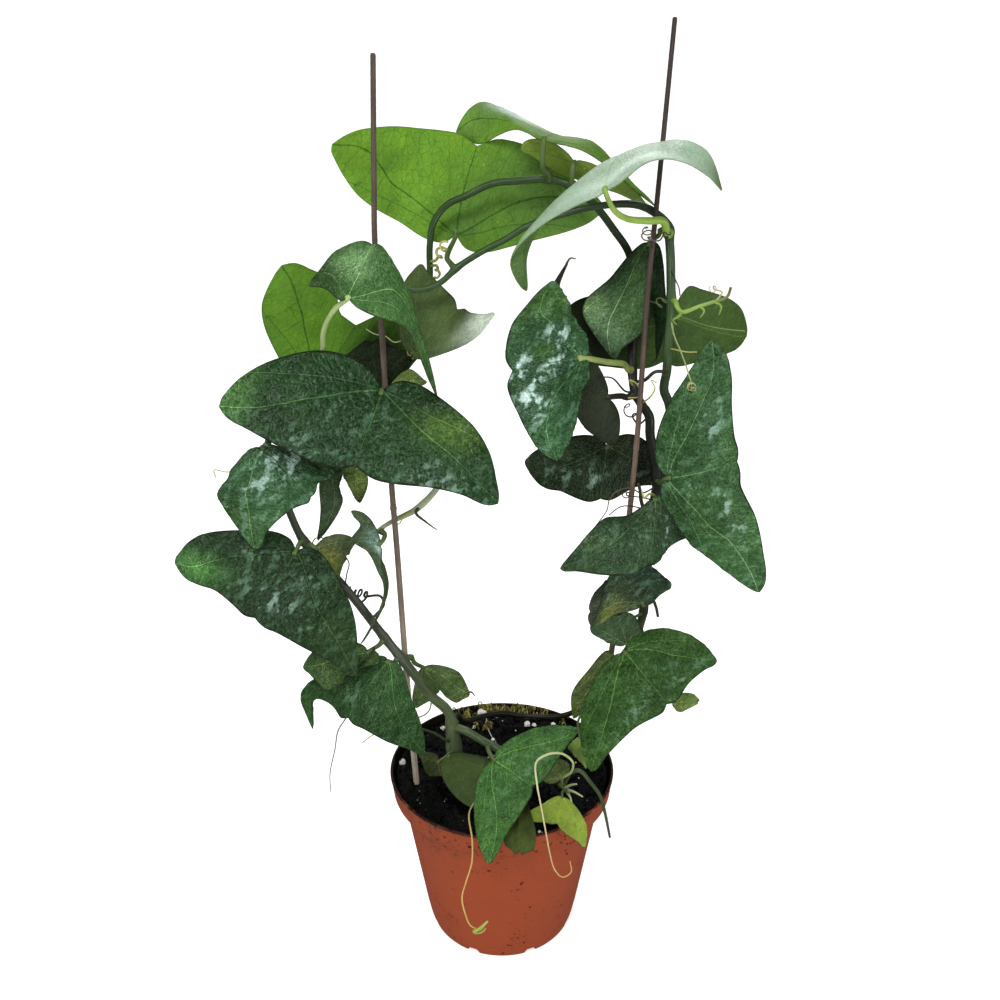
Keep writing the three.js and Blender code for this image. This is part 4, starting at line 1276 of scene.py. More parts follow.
@dataclass
class Moss:
    """Moss on the peat along the back of the rim, with a dried coil and a pale root that lie on it."""

    peat: Peat
    tufts: tuple[tuple[float, float, int], ...] = (
        (484.0, 704.0, 16), (492.0, 703.0, 22), (504.0, 705.0, 20), (516.0, 707.0, 18), (530.0, 708.0, 14),
        (548.0, 711.0, 12), (462.0, 712.0, 16), (466.0, 721.0, 14), (484.0, 728.0, 12), (572.0, 716.0, 8),
    )
    greens: tuple[Rgb, ...] = ((104, 104, 44), (140, 138, 56), (112, 98, 50), (60, 54, 30), (168, 162, 84))
    coil_ends: tuple[tuple[float, float], ...] = ((500.0, 706.0), (556.0, 713.0))
    coil_radius: float = 1.7
    coil_turns: int = 11
    coil_tints: tuple[Rgb, ...] = ((120, 106, 62), (168, 156, 100), (138, 124, 76))
    root_line: tuple[tuple[float, float], ...] = (
        (489.0, 709.0), (487.0, 717.0), (487.0, 726.0), (491.0, 736.0), (496.0, 743.0),
    )
    root_tints: tuple[Rgb, ...] = ((150, 148, 136), (196, 194, 182))
    inset: float = 1.2
    seed: int = 21

    def on_peat(self, column: float, row: float, lift: float) -> np.ndarray:
        """Finds the place on the peat that a pixel shows, lifted by some millimetres."""
        return self.peat.seat(column, row, self.inset, lift)

    def build(self, finish: bpy.types.Material) -> bpy.types.Object:
        """Makes all the tufts, the coil and the root as one piece.

        Args:
            finish: the moss's material.

        Returns:
            The finished piece.
        """
        skin = Skin()
        chance = random.Random(self.seed)
        for column, row, count in self.tufts:
            for _ in range(count):
                foot = self.on_peat(column + chance.gauss(0.0, 4.0), row + chance.gauss(0.0, 1.8), -0.4)
                self.sprig(skin, foot, chance, self.greens[chance.randrange(len(self.greens))])
        first, last = (self.on_peat(*end, self.coil_radius * 0.8) for end in self.coil_ends)
        turns = []
        for k in range(self.coil_turns * 9 + 1):
            share = k / (self.coil_turns * 9)
            angle = share * self.coil_turns * TURN
            reach = self.coil_radius * (1.0 + 0.25 * math.sin(angle * 0.37))
            centre = first + (last - first) * (share + 0.02 * math.sin(angle * 0.6))
            side, rise = reach * math.cos(angle), reach * math.sin(angle)
            turns.append(centre + (0.35 * side, side, rise))
        coil = Path(np.array(turns), fine=6)
        Tube(coil, taper(0.42, 0.3), self.coil_tints, sides=6, step=0.5).add_to(skin)
        root = np.array([self.on_peat(*mark, 0.5) for mark in self.root_line])
        Tube(Path(root), taper(0.38, 0.28), self.root_tints, sides=6, step=0.7).add_to(skin)
        piece = skin.finish("moss_tufts", [finish])
        dress(piece, "peat")
        return piece

    def sprig(self, skin: Skin, foot: np.ndarray, chance: random.Random, colour: Rgb) -> None:
        """Adds one curled sprig that stands on the peat.

        Args:
            skin: the mesh.
            foot: where it stands.
            chance: the seeded random source.
            colour: its colour.
        """
        turn = chance.uniform(0.0, TURN)
        lean = np.array([math.cos(turn), math.sin(turn), 0.0])
        tall = chance.uniform(2.2, 6.0)
        curl = chance.uniform(0.6, 2.2)
        points = [foot]
        for rise, bend in ((0.55, 0.3), (1.0, 1.0), (0.8, 1.9), (0.55, 1.5)):
            points.append(foot + np.array([0.0, 0.0, tall * rise]) + lean * curl * bend)
        widths = taper(0.45, 0.3)
        Tube(Path(np.array(points), fine=8), widths, (colour, colour), sides=5, step=0.6).add_to(skin)


class Wire:
    """A value in a material's node tree; arithmetic on it adds Math nodes."""

    def __init__(self, weave: "Weave", socket: bpy.types.NodeSocket) -> None:
        """Wraps an output socket."""
        self.weave = weave
        self.socket = socket

    def __add__(self, other: "Wire | float") -> "Wire":
        """Adds a value."""
        return self.weave.math("ADD", self, other)

    def __radd__(self, other: float) -> "Wire":
        """Adds to a number."""
        return self.weave.math("ADD", other, self)

    def __sub__(self, other: "Wire | float") -> "Wire":
        """Takes a value away."""
        return self.weave.math("SUBTRACT", self, other)

    def __rsub__(self, other: float) -> "Wire":
        """Is taken away from a number."""
        return self.weave.math("SUBTRACT", other, self)

    def __mul__(self, other: "Wire | float") -> "Wire":
        """Multiplies by a value."""
        return self.weave.math("MULTIPLY", self, other)

    def __rmul__(self, other: float) -> "Wire":
        """Multiplies a number."""
        return self.weave.math("MULTIPLY", other, self)

    def __truediv__(self, other: "Wire | float") -> "Wire":
        """Divides by a value."""
        return self.weave.math("DIVIDE", self, other)

    def __rtruediv__(self, other: float) -> "Wire":
        """Divides a number."""
        return self.weave.math("DIVIDE", other, self)

    def __abs__(self) -> "Wire":
        """Drops the sign."""
        return self.weave.math("ABSOLUTE", self)


class Weave:
    """The node tree of one material, built from expressions on its wires."""

    def __init__(self, name: str) -> None:
        """Starts a material with an empty tree.

        Args:
            name: the material's name.
        """
        self.material = bpy.data.materials.new(name)
        self.material.use_nodes = True
        self.tree = self.material.node_tree
        self.tree.nodes.clear()

    def add(
        self, kind: str, settings: dict[str, object] | None = None,
        inputs: dict[str | int, object] | None = None, output: str | int = 0,
    ) -> Wire:
        """Adds a node.

        Args:
            kind: the node's type.
            settings: properties that are set first.
            inputs: values or wires by socket name or number.
            output: the socket that is handed back.

        Returns:
            The chosen output.
        """
        node = self.tree.nodes.new(kind)
        for key, value in (settings or {}).items():
            setattr(node, key, value)
        for key, value in (inputs or {}).items():
            if isinstance(value, Wire):
                self.tree.links.new(value.socket, node.inputs[key])
            else:
                node.inputs[key].default_value = value
        return Wire(self, node.outputs[output])

    def math(self, operation: str, *values: Wire | float) -> Wire:
        """Adds a Math node."""
        return self.add("ShaderNodeMath", {"operation": operation}, dict(enumerate(values)))

    def ease(self, low: float, high: float, value: Wire) -> Wire:
        """Rises smoothly from 0 at low to 1 at high."""
        return self.add(
            "ShaderNodeMapRange", {"interpolation_type": "SMOOTHSTEP"},
            {"Value": value, "From Min": low, "From Max": high},
        )

    def blend(self, share: Wire | float, under: Wire | Rgb, over: Wire | Rgb) -> Wire:
        """Mixes two colours, given as wires or display colours.

        Args:
            share: how much of the second shows.
            under: the first colour.
            over: the second colour.

        Returns:
            The mixed colour.
        """
        colours = [tone if isinstance(tone, Wire) else (*linear(tone), 1.0) for tone in (under, over)]
        return self.add(
            "ShaderNodeMix", {"data_type": "RGBA", "clamp_factor": True},
            {0: share, 6: colours[0], 7: colours[1]}, output=2,
        )

    def brighten(self, colour: Wire, share: Wire) -> Wire:
        """Multiplies a colour by a value."""
        return self.add("ShaderNodeVectorMath", {"operation": "SCALE"}, {0: colour, "Scale": share})

    def tone(self, share: Wire, colour: Wire, gain: tuple[float, float, float]) -> Wire:
        """Shifts a colour towards a gain on its channels."""
        shifted = self.add("ShaderNodeVectorMath", {"operation": "MULTIPLY"}, {0: colour, 1: gain})
        return self.blend(share, colour, shifted)

    def place(self) -> Wire:
        """Reads the place on the object, in metres."""
        return self.add("ShaderNodeTexCoord", output="Object")

    def attribute(self, name: str, output: str = "Color") -> Wire:
        """Reads an attribute of the mesh."""
        return self.add("ShaderNodeAttribute", {"attribute_name": name}, output=output)

    def split(self, vector: Wire) -> tuple[Wire, Wire, Wire]:
        """Takes a vector apart.

        Args:
            vector: the vector.

        Returns:
            Its three numbers.
        """
        node = self.tree.nodes.new("ShaderNodeSeparateXYZ")
        self.tree.links.new(vector.socket, node.inputs[0])
        return tuple(Wire(self, socket) for socket in node.outputs)

    def stretch(self, vector: Wire, scale: tuple[float, float, float]) -> Wire:
        """Scales a pattern's space."""
        return self.add("ShaderNodeMapping", inputs={"Vector": vector, "Scale": scale})

    def cloud(self, vector: Wire, scale: float, detail: float = 3.0, rough: float = 0.5) -> Wire:
        """Adds soft noise around 0.5."""
        return self.add(
            "ShaderNodeTexNoise",
            inputs={"Vector": vector, "Scale": scale, "Detail": detail, "Roughness": rough},
        )

    def cloud_colour(self, vector: Wire, scale: float) -> Wire:
        """Adds soft noise that differs in each channel."""
        return self.add("ShaderNodeTexNoise", inputs={"Vector": vector, "Scale": scale}, output=1)

    def cells(self, vector: Wire, scale: float) -> Wire:
        """Gives the distance to the edges of irregular cells."""
        return self.add(
            "ShaderNodeTexVoronoi", {"feature": "DISTANCE_TO_EDGE"}, {"Vector": vector, "Scale": scale},
        )

    def grains(self, vector: Wire, scale: float) -> Wire:
        """Gives the distance to scattered points."""
        return self.add("ShaderNodeTexVoronoi", inputs={"Vector": vector, "Scale": scale})

    def bump(self, height: Wire, strength: float, distance: float) -> Wire:
        """Turns a height into a surface normal; the distance is in millimetres."""
        return self.add(
            "ShaderNodeBump", inputs={"Height": height, "Strength": strength, "Distance": distance * MM},
        )

    def coat(self, colour: Wire, rough: Wire | float, shine: float, normal: Wire) -> bpy.types.Material:
        """Ends the material in a colour, a roughness, a share of gloss and a relief."""
        return self.close(
            {"Base Color": colour, "Roughness": rough, "Specular IOR Level": shine, "Normal": normal}
        )

    def close(self, inputs: dict[str, object]) -> bpy.types.Material:
        """Ends the material in a surface shader.

        Args:
            inputs: the shader's values and wires by socket name.

        Returns:
            The material.
        """
        shader = self.add("ShaderNodeBsdfPrincipled", inputs=inputs)
        output = self.tree.nodes.new("ShaderNodeOutputMaterial")
        self.tree.links.new(shader.socket, output.inputs["Surface"])
        return self.material


@dataclass(frozen=True)
class LeafFinish:
    """How one face of a leaf looks: its veins, net, mottling, gloss and relief, with painted light and shade
    on its crinkles from the upper left and painted glints.
    """

    name: str
    vein: tuple[float, float, float]
    vein_share: float
    sprig_share: float
    net_share: float
    mesh_share: float
    # strength of the painted light and shade on the crinkles
    painted_emboss_shading: float
    mottle: float
    rough: float
    shine: float
    bump: float
    raised: float
    quilt: float
    warmth: float = 0.4
    # share of tiny pale points, a painted sparkle
    painted_sparkle: float = 0.0
    # share of small bright dots, painted glints of water drops
    painted_drop_glints: float = 0.0
    vein_width: float = 0.0125
    midrib_width: float = 0.0120
    # colours of the painted glints, soft and strong
    soft_glint: Rgb = (118, 158, 130)
    painted_glint: Rgb = (196, 228, 216)

    def veins(self, weave: "Weave", spot: Wire) -> tuple[Wire, Wire]:
        """Draws the veins along the courses that the blade's grooves follow.

        Args:
            weave: the material's tree.
            spot: the pattern place.

        Returns:
            The main veins, and the finer ones that branch from them.
        """
        x, y, _ = weave.split(spot)
        wobble = weave.cloud(spot, 7.0, 2.0) - 0.5
        reach = abs(x)
        lateral = abs(y - course(reach, *SIDE_VEIN) + wobble * 0.012)
        basal = abs(y - course(reach, *LOW_VEIN) + wobble * 0.012)
        width = self.vein_width - reach * 0.0090
        side_vein = weave.ease(1.0, 0.30, lateral / width)
        midrib = weave.ease(1.0, 0.30, reach / (self.midrib_width - y * 0.016))
        low_vein = weave.ease(1.0, 0.30, basal / (width * 0.7)) * 0.7
        main = weave.math("MAXIMUM", weave.math("MAXIMUM", side_vein, midrib), low_vein)
        step = weave.math("FRACT", (reach - lateral * 0.55 + wobble * 0.13 + 0.02) / VEIN_SPACING)
        sprig = weave.ease(0.92, 1.0, abs(step - 0.5) * 2.0) * weave.ease(0.004, 0.03, lateral)
        return main, sprig

    def meshes(self, weave: "Weave", spot: Wire) -> tuple[Wire, Wire, Wire]:
        """Draws the net of small veins.

        Args:
            weave: the material's tree.
            spot: the pattern place.

        Returns:
            The coarse net, the fine net and the cushions that they enclose.
        """
        shift = weave.brighten(weave.cloud_colour(spot, 16.0), 0.035)
        drift = weave.add("ShaderNodeVectorMath", {"operation": "ADD"}, {0: spot, 1: shift})
        coarse, small = weave.cells(drift, 22.0), weave.cells(drift, 40.0)
        net, fine = weave.ease(0.07, 0.0, coarse), weave.ease(0.18, 0.0, small)
        return net, fine, weave.ease(0.0, 0.42, coarse) + weave.ease(0.0, 0.40, small) * 0.30

    def slope(self, weave: "Weave", place: Wire, scale: float, reach: float, detail: float) -> Wire:
        """Gives how far a crinkled relief leans to the upper left, around 0; the colour uses it as painted
        light and shade from the upper left and to place painted glints.

        Args:
            weave: the material's tree.
            place: the place on the object.
            scale: crinkles in a metre.
            reach: the distance between the two compared places, in millimetres.
            detail: how many finer layers the relief has.

        Returns:
            The difference of the relief between the two places.
        """
        step = (-reach * MM, 0.0, reach * MM)
        moved = weave.add("ShaderNodeVectorMath", {"operation": "ADD"}, {0: place, 1: step})
        return weave.cloud(place, scale, detail, 0.5) - weave.cloud(moved, scale, detail, 0.5)

    def build(self) -> bpy.types.Material:
        """Makes the material; a blade's tint and its pattern places come from its mesh.

        Returns:
            The material.
        """
        weave = Weave(self.name)
        spot = weave.attribute("pattern", "Vector")
        rim = weave.split(spot)[2]
        main, sprig = self.veins(weave, spot)
        net, fine, pillow = self.meshes(weave, spot)
        place = weave.place()
        broad = weave.cloud(place, 34.0, 2.0, 0.6)
        tone = weave.cloud(place, 150.0, 4.0, 0.6)
        grit = weave.cloud(place, 1100.0, 3.0, 0.6)
        # fold and crease lean a made-up relief toward the upper left; the colour uses them as painted light
        # and shade and to place the painted glints
        fold = self.slope(weave, place, 125.0, 1.3, 2.0)
        crease = self.slope(weave, place, 480.0, 0.3, 4.0)
        lean = fold * 0.5 + crease
        tint = weave.attribute("tint")
        painted_glint = weave.attribute("tint", "Alpha")
        # the lean term here is painted light and shade from the upper left
        light = 1.0 + (tone - 0.5) * self.mottle * 2.0 + (grit - 0.5) * self.mottle
        light = light + (broad - 0.5) * self.mottle * 3.5 + lean * self.painted_emboss_shading * 2.4
        colour = weave.brighten(tint, weave.math("MAXIMUM", light, 0.25))
        warm = weave.ease(0.50, 0.72, weave.cloud(place, 62.0, 2.0)) * self.warmth
        colour = weave.tone(warm, colour, (1.25, 1.12, 0.72))
        share = main * self.vein_share + sprig * self.sprig_share
        patch = weave.ease(0.36, 0.62, weave.cloud(place, 85.0, 3.0, 0.6))
        share = share + net * tone * self.net_share * 1.5 + fine * patch * self.mesh_share
        colour = weave.tone(share, colour, self.vein)
        # painted glints: the colour turns pale teal where the relief leans to the upper left, by the glint
        # share in the tint's fourth channel
        wide = (painted_glint - 0.4) * 0.055
        painted_sheen_mask = weave.ease(0.0, 0.12, fold + crease * 0.2 + wide) + fine * 0.12
        painted_sheen_mask = painted_sheen_mask * (1.0 - main * 0.6)
        tone_of_glint = weave.blend(weave.ease(0.2, 0.8, painted_glint), self.soft_glint, self.painted_glint)
        colour = weave.blend(painted_glint * painted_sheen_mask, colour, tone_of_glint)
        # painted sparkle: tiny pale points
        if self.painted_sparkle:
            points = 1.0 - weave.ease(0.14, 0.42, weave.grains(place, 720.0))
            colour = weave.tone(points * (0.3 + patch) * self.painted_sparkle, colour, (2.6, 2.1, 2.5))
        # painted glints of water drops: small bright dots
        if self.painted_drop_glints:
            dots = 1.0 - weave.ease(0.05, 0.16, weave.grains(place, 190.0))
            gate = weave.ease(0.57, 0.62, weave.cloud(place, 90.0, 1.0))
            colour = weave.tone(dots * gate * self.painted_drop_glints, colour, (2.4, 1.7, 2.0))
        veins = main + sprig * 0.5
        height = veins * self.raised + pillow * self.quilt + grit * 0.2 + tone * 0.5
        rough = self.rough + (grit - 0.5) * 0.3 + (tone - 0.5) * 0.25 + rim * 0.1
        return weave.coat(colour, rough, self.shine, weave.bump(height, self.bump, 0.6))


@dataclass(frozen=True)
class StalkFinish:
    """The skin of stems, petioles, tendrils, stakes or moss, streaked along its length; its pale and dark
    streaks are partly the skin's own stripes and grain and partly painted highlights and painted shade, and
    one side can be darkened as painted shade.
    """

    name: str
    streak: float
    rough: float
    bump: float
    pale: Rgb
    pale_share: float
    dark_share: float = 0.0
    shade: float = 0.0

    def build(self) -> bpy.types.Material:
        """Makes the material; its tint and the way round and along come from the mesh.

        Returns:
            The material.
        """
        weave = Weave(self.name)
        spot = weave.attribute("pattern", "Vector")
        lines = weave.cloud(weave.stretch(spot, (4.0, 4.0, 0.55)), 1.6, 4.0, 0.65)
        place = weave.place()
        tone = weave.cloud(place, 90.0, 3.0)
        grit = weave.cloud(place, 1300.0, 2.0)
        light = 1.0 + (lines - 0.5) * self.streak * 2.2 + (tone - 0.5) * self.streak * 1.4
        colour = weave.brighten(weave.attribute("tint"), light)
        # pale streaks, partly painted highlights; dark streaks, partly painted shade
        share = weave.ease(0.58, 0.76, lines) * self.pale_share
        colour = weave.blend(share, colour, self.pale)
        colour = weave.blend(weave.ease(0.46, 0.30, lines) * self.dark_share, colour, (10, 12, 8))
        # painted shade: the side where the pattern's first axis points away is darkened
        away = weave.ease(0.35, -0.75, weave.split(spot)[0])
        colour = weave.brighten(colour, 1.0 - away * self.shade)
        height = lines + grit * 0.3
        return weave.coat(colour, self.rough + (grit - 0.5) * 0.2, 0.4, weave.bump(height, self.bump, 0.4))


@dataclass(frozen=True)
class PotPlastic:
    """Terracotta-coloured plastic, satin, with peat dust and specks below its rim."""

    body: Rgb = (145, 64, 33)
    dull: Rgb = (128, 55, 29)
    dirt: Rgb = (54, 14, 6)
    dust: Rgb = (90, 52, 34)
    wall_top_dark: Rgb = (24, 17, 13)

    def build(self) -> bpy.types.Material:
        """Makes the material.

        Returns:
            The material.
        """
        weave = Weave("pot_terracotta_plastic")
        place = weave.place()
        x, y, z = weave.split(place)
        tone = weave.cloud(place, 22.0, 3.0)
        grain = weave.cloud(place, 2600.0, 2.0)
        colour = weave.blend(weave.ease(0.30, 0.75, tone) * 0.35, self.body, self.dull)
        scuff = weave.cloud(weave.stretch(place, (60.0, 60.0, 700.0)), 1.0, 3.0)
        colour = weave.blend(weave.ease(0.60, 0.74, scuff) * 0.16, colour, (170, 96, 66))
        near_rim = weave.ease(0.050, 0.094, z)
        left = weave.ease(0.010, -0.045, x)
        smear = weave.ease(0.46, 0.66, weave.cloud(place, 75.0, 4.0, 0.7))
        colour = weave.blend(smear * near_rim * (0.22 + left * 0.5), colour, self.dust)
        specks = 1.0 - weave.ease(0.16, 0.30, weave.grains(place, 300.0))
        crumbs = 1.0 - weave.ease(0.14, 0.30, weave.grains(place, 620.0))
        gate = weave.ease(0.44, 0.56, weave.cloud(place, 48.0, 2.0))
        few = weave.ease(0.56, 0.64, weave.cloud(place, 60.0, 2.0))
        foot = weave.ease(0.014, 0.002, z)
        collar = weave.ease(0.078, 0.090, z) * weave.ease(0.40, 0.56, weave.cloud(place, 110.0, 3.0))
        marks = specks * (gate * (near_rim * 0.8 + foot) + few * 0.8) + crumbs * (collar + few * 0.6)
        colour = weave.blend(marks, colour, self.dirt)
        # darkens the inner wall above the collar and patches along the rim's top to a near-black brown
        away = weave.math("SQRT", x * x + y * y)
        inside = weave.ease(0.0003, -0.0003, away - (z - 0.084) * 0.15 - 0.0576)
        lip = weave.ease(0.0930, 0.0946, z) * weave.ease(0.30, 0.46, weave.cloud(place, 160.0, 3.0))
        wall_top_darkening = weave.math("MAXIMUM", inside * weave.ease(0.078, 0.082, z), lip * 0.9)
        colour = weave.blend(wall_top_darkening, colour, self.wall_top_dark)
        rough = 0.47 + (grain - 0.5) * 0.12 + smear * near_rim * 0.25 + (tone - 0.5) * 0.12
        height = grain * 0.35 + marks * 1.2 + scuff * 0.3
        return weave.coat(colour, rough, 0.14, weave.bump(height, 0.35, 0.12))


@dataclass(frozen=True)
class PeatFinish:
    """Wet black peat with brown fibres and fine pale specks, partly perlite dust and partly painted glints.
    """

    wet: Rgb = (2, 2, 2)
    dry: Rgb = (15, 13, 10)
    fibre: Rgb = (62, 48, 32)
    dust: Rgb = (150, 152, 140)

    def build(self) -> bpy.types.Material:
        """Makes the material.

        Returns:
            The material.
        """
        weave = Weave("peat_black_crumb")
        place = weave.place()
        tone = weave.cloud(place, 260.0, 5.0, 0.65)
        grit = weave.cloud(place, 1700.0, 3.0, 0.6)
        colour = weave.blend(weave.ease(0.50, 0.80, tone), self.wet, self.dry)
        threads = weave.cloud(weave.stretch(place, (240.0, 900.0, 500.0)), 1.0, 3.0)
        colour = weave.blend(weave.ease(0.68, 0.75, threads) * 0.5, colour, self.fibre)
        # pale specks: partly perlite dust, partly painted glints on the wet peat
        dust = 1.0 - weave.ease(0.10, 0.20, weave.grains(place, 480.0))
        gate = weave.ease(0.58, 0.66, weave.cloud(place, 130.0, 2.0))
        colour = weave.blend(dust * gate, colour, self.dust)
        return weave.coat(colour, 0.34 + (grit - 0.5) * 0.4, 0.1, weave.bump(tone + grit * 0.6, 1.0, 0.9))


@dataclass(frozen=True)
class PerliteFinish:
    """Chalky white perlite with small pits."""

    white: Rgb = (232, 232, 226)
    pit: Rgb = (150, 146, 136)

    def build(self) -> bpy.types.Material:
        """Makes the material.

        Returns:
            The material.
        """
        weave = Weave("perlite_chalk")
        place = weave.place()
        pits = weave.cloud(place, 1500.0, 3.0, 0.6)
        colour = weave.blend(weave.ease(0.50, 0.74, pits), self.white, self.pit)
        return weave.coat(colour, 0.9, 0.5, weave.bump(pits, 0.8, 0.3))


@dataclass(frozen=True)
class Finishes:
    """Every material of the plant and its pot."""

    pot: bpy.types.Material
    peat: bpy.types.Material
    perlite: bpy.types.Material
    cane: bpy.types.Material
    skin: bpy.types.Material
    moss: bpy.types.Material
    leaf_upper: bpy.types.Material
    leaf_silvery: bpy.types.Material
    leaf_under: bpy.types.Material
    leaf_backlit: bpy.types.Material

    @classmethod
    def make(cls) -> "Finishes":
        """Builds every finish once."""
        return cls(
            pot=PotPlastic().build(), peat=PeatFinish().build(), perlite=PerliteFinish().build(),
            # the stake cane's last number darkens one side: painted shade
            cane=StalkFinish("stake_cane", 0.6, 0.72, 0.6, (190, 176, 158), 0.34, 0.4, 0.3).build(),
            skin=StalkFinish("stem_skin", 0.5, 0.40, 0.4, (176, 186, 158), 0.52, 0.4).build(),
            moss=StalkFinish("moss_curls", 0.6, 0.85, 0.5, (176, 168, 84), 0.35, 0.3).build(),
            leaf_upper=LeafFinish(
                name="leaf_upper_leathery", vein=(5.6, 4.0, 5.2), vein_share=0.72, sprig_share=0.24,
                net_share=0.12, mesh_share=0.16, painted_emboss_shading=1.0, mottle=0.30, rough=0.34, shine=0.26,
                bump=0.95, raised=-0.9, quilt=0.9, painted_sparkle=0.45,
            ).build(),
            # a pale finish for leaves whose pale tint is a painted reflection
            leaf_silvery=LeafFinish(
                name="leaf_upper_painted_sheen", vein=(0.8, 0.9, 0.85), vein_share=0.4, sprig_share=0.1,
                net_share=0.0, mesh_share=0.1, painted_emboss_shading=0.3, mottle=0.10, rough=0.42, shine=0.36, bump=0.5,
                raised=-0.9, quilt=0.5, warmth=0.1,
            ).build(),
            leaf_under=LeafFinish(
                name="leaf_under_matte", vein=(1.9, 1.7, 1.5), vein_share=0.7, sprig_share=0.3,
                net_share=0.25, mesh_share=0.35, painted_emboss_shading=0.5, mottle=0.26, rough=0.56, shine=0.2, bump=0.5,
                raised=1.0, quilt=-0.5,
            ).build(),
            # painted backlight: dark veins and bright dots, with the bright tints of the lit leaves, stand
            # in for light shining through
            leaf_backlit=LeafFinish(
                name="leaf_under_backlit", vein=(0.20, 0.34, 0.25), vein_share=0.62, sprig_share=0.34,
                net_share=0.5, mesh_share=0.2, painted_emboss_shading=0.2, mottle=0.26, rough=0.56, shine=0.12, bump=0.4,
                raised=1.0, quilt=-0.4, painted_drop_glints=0.8,
            ).build(),
        )


@dataclass(frozen=True)
class Softbox:
    """One rectangular studio light that looks at the plant."""

    name: str
    place: tuple[float, float, float]
    size: float
    power: float
    target: tuple[float, float, float] = (0.0, 0.0, 0.22)

    def hang(self) -> None:
        """Adds the light to the scene."""
        data = bpy.data.lights.new(self.name, "AREA")
        data.shape = "SQUARE"
        data.size = self.size
        data.energy = self.power
        lamp = show(self.name, data)
        lamp.location = self.place
        heading = Vector(self.target) - Vector(self.place)
        lamp.rotation_euler = heading.to_track_quat("-Z", "Y").to_euler()


@dataclass(frozen=True)
class Studio:
    """The camera, the plain pale floor and the soft light."""

    sensor: float = 36.0
    floor_half: float = 3.0
    sweep_radius: float = 1.2
    sweep_steps: int = 24
    floor_tone: Rgb = (250, 250, 249)
    sky_light: float = 0.42
    sky_gloss: float = 0.12
    floor_glow: float = 0.5
    softboxes: tuple[Softbox, ...] = (
        Softbox("softbox_key", (-0.20, -1.00, 1.40), 0.45, 12.0),
        Softbox("softbox_left", (-1.20, -0.90, 0.70), 0.45, 4.0),
        Softbox("softbox_right", (1.20, -0.90, 0.50), 0.45, 4.5),
        Softbox("softbox_back", (0.1, 1.0, 1.2), 0.6, 5.0),
    )

    def set_camera(self) -> None:
        """Puts the camera where the marks were sighted from."""
        data = bpy.data.cameras.new("camera_front")
        data.sensor_width = self.sensor
        data.lens = SIGHT.focal / SIGHT.picture * self.sensor
        data.clip_start = 0.01
        data.clip_end = 60.0
        camera = show("camera_front", data)
        camera.location = Vector(SIGHT.place) * MM
        camera.rotation_euler = (math.pi / 2.0 - SIGHT.pitch, 0.0, 0.0)
        bpy.context.scene.camera = camera

    def lay_floor(self) -> None:
        """Lays the pale floor that the pot stands on, which sweeps up behind it."""
        half, bend = self.floor_half, self.sweep_radius
        mesh = bmesh.new()
        front = [mesh.verts.new((side * half, -half, 0.0)) for side in (-1.0, 1.0)]
        edge = [mesh.edges.new(front)]
        foot = half - bend
        steps = [(foot + half, 0.0)]
        for k in range(1, self.sweep_steps + 1):
            turn = math.pi / 2.0 * k / self.sweep_steps
            last = math.pi / 2.0 * (k - 1) / self.sweep_steps
            steps.append(
                (bend * (math.sin(turn) - math.sin(last)), bend * (math.cos(last) - math.cos(turn)))
            )
        steps.append((0.0, half))
        for ahead, up in steps:
            made = bmesh.ops.extrude_edge_only(mesh, edges=edge)["geom"]
            verts = [part for part in made if isinstance(part, bmesh.types.BMVert)]
            edge = [part for part in made if isinstance(part, bmesh.types.BMEdge)]
            bmesh.ops.translate(mesh, verts=verts, vec=(0.0, ahead, up))
        bmesh.ops.recalc_face_normals(mesh, faces=mesh.faces)
        weave = Weave("floor_paper")
        weave.close(
            {
                "Base Color": (*linear(self.floor_tone), 1.0), "Roughness": 0.9,
                "Emission Color": (1.0, 1.0, 1.0, 1.0), "Emission Strength": self.floor_glow,
            }
        )
        floor = settle(mesh, "floor", [weave.material])
        floor.visible_glossy = False

    def set_sky(self) -> None:
        """Surrounds the plant with even light and shows the eye plain white."""
        world = bpy.data.worlds.new("studio_white")
        world.use_nodes = True
        tree = world.node_tree
        tree.nodes.clear()
        rays = tree.nodes.new("ShaderNodeLightPath")
        skies = []
        for strength in (self.sky_light, self.sky_gloss, 1.0):
            sky = tree.nodes.new("ShaderNodeBackground")
            sky.inputs["Strength"].default_value = strength
            sky.inputs["Color"].default_value = (1.0, 1.0, 1.0, 1.0)
            skies.append(sky)
        surface = skies[0].outputs[0]
        for kind, sky in (("Is Glossy Ray", skies[1]), ("Is Camera Ray", skies[2])):
            mix = tree.nodes.new("ShaderNodeMixShader")
            tree.links.new(rays.outputs[kind], mix.inputs["Fac"])
            tree.links.new(surface, mix.inputs[1])
            tree.links.new(sky.outputs[0], mix.inputs[2])
            surface = mix.outputs[0]
        output = tree.nodes.new("ShaderNodeOutputWorld")
        tree.links.new(surface, output.inputs["Surface"])
        bpy.context.scene.world = world

    def build(self) -> None:
        """Sets the whole studio up."""
        bpy.context.scene.view_settings.view_transform = "Standard"
        self.set_camera()
        self.lay_floor()
        self.set_sky()
        for softbox in self.softboxes:
            softbox.hang()


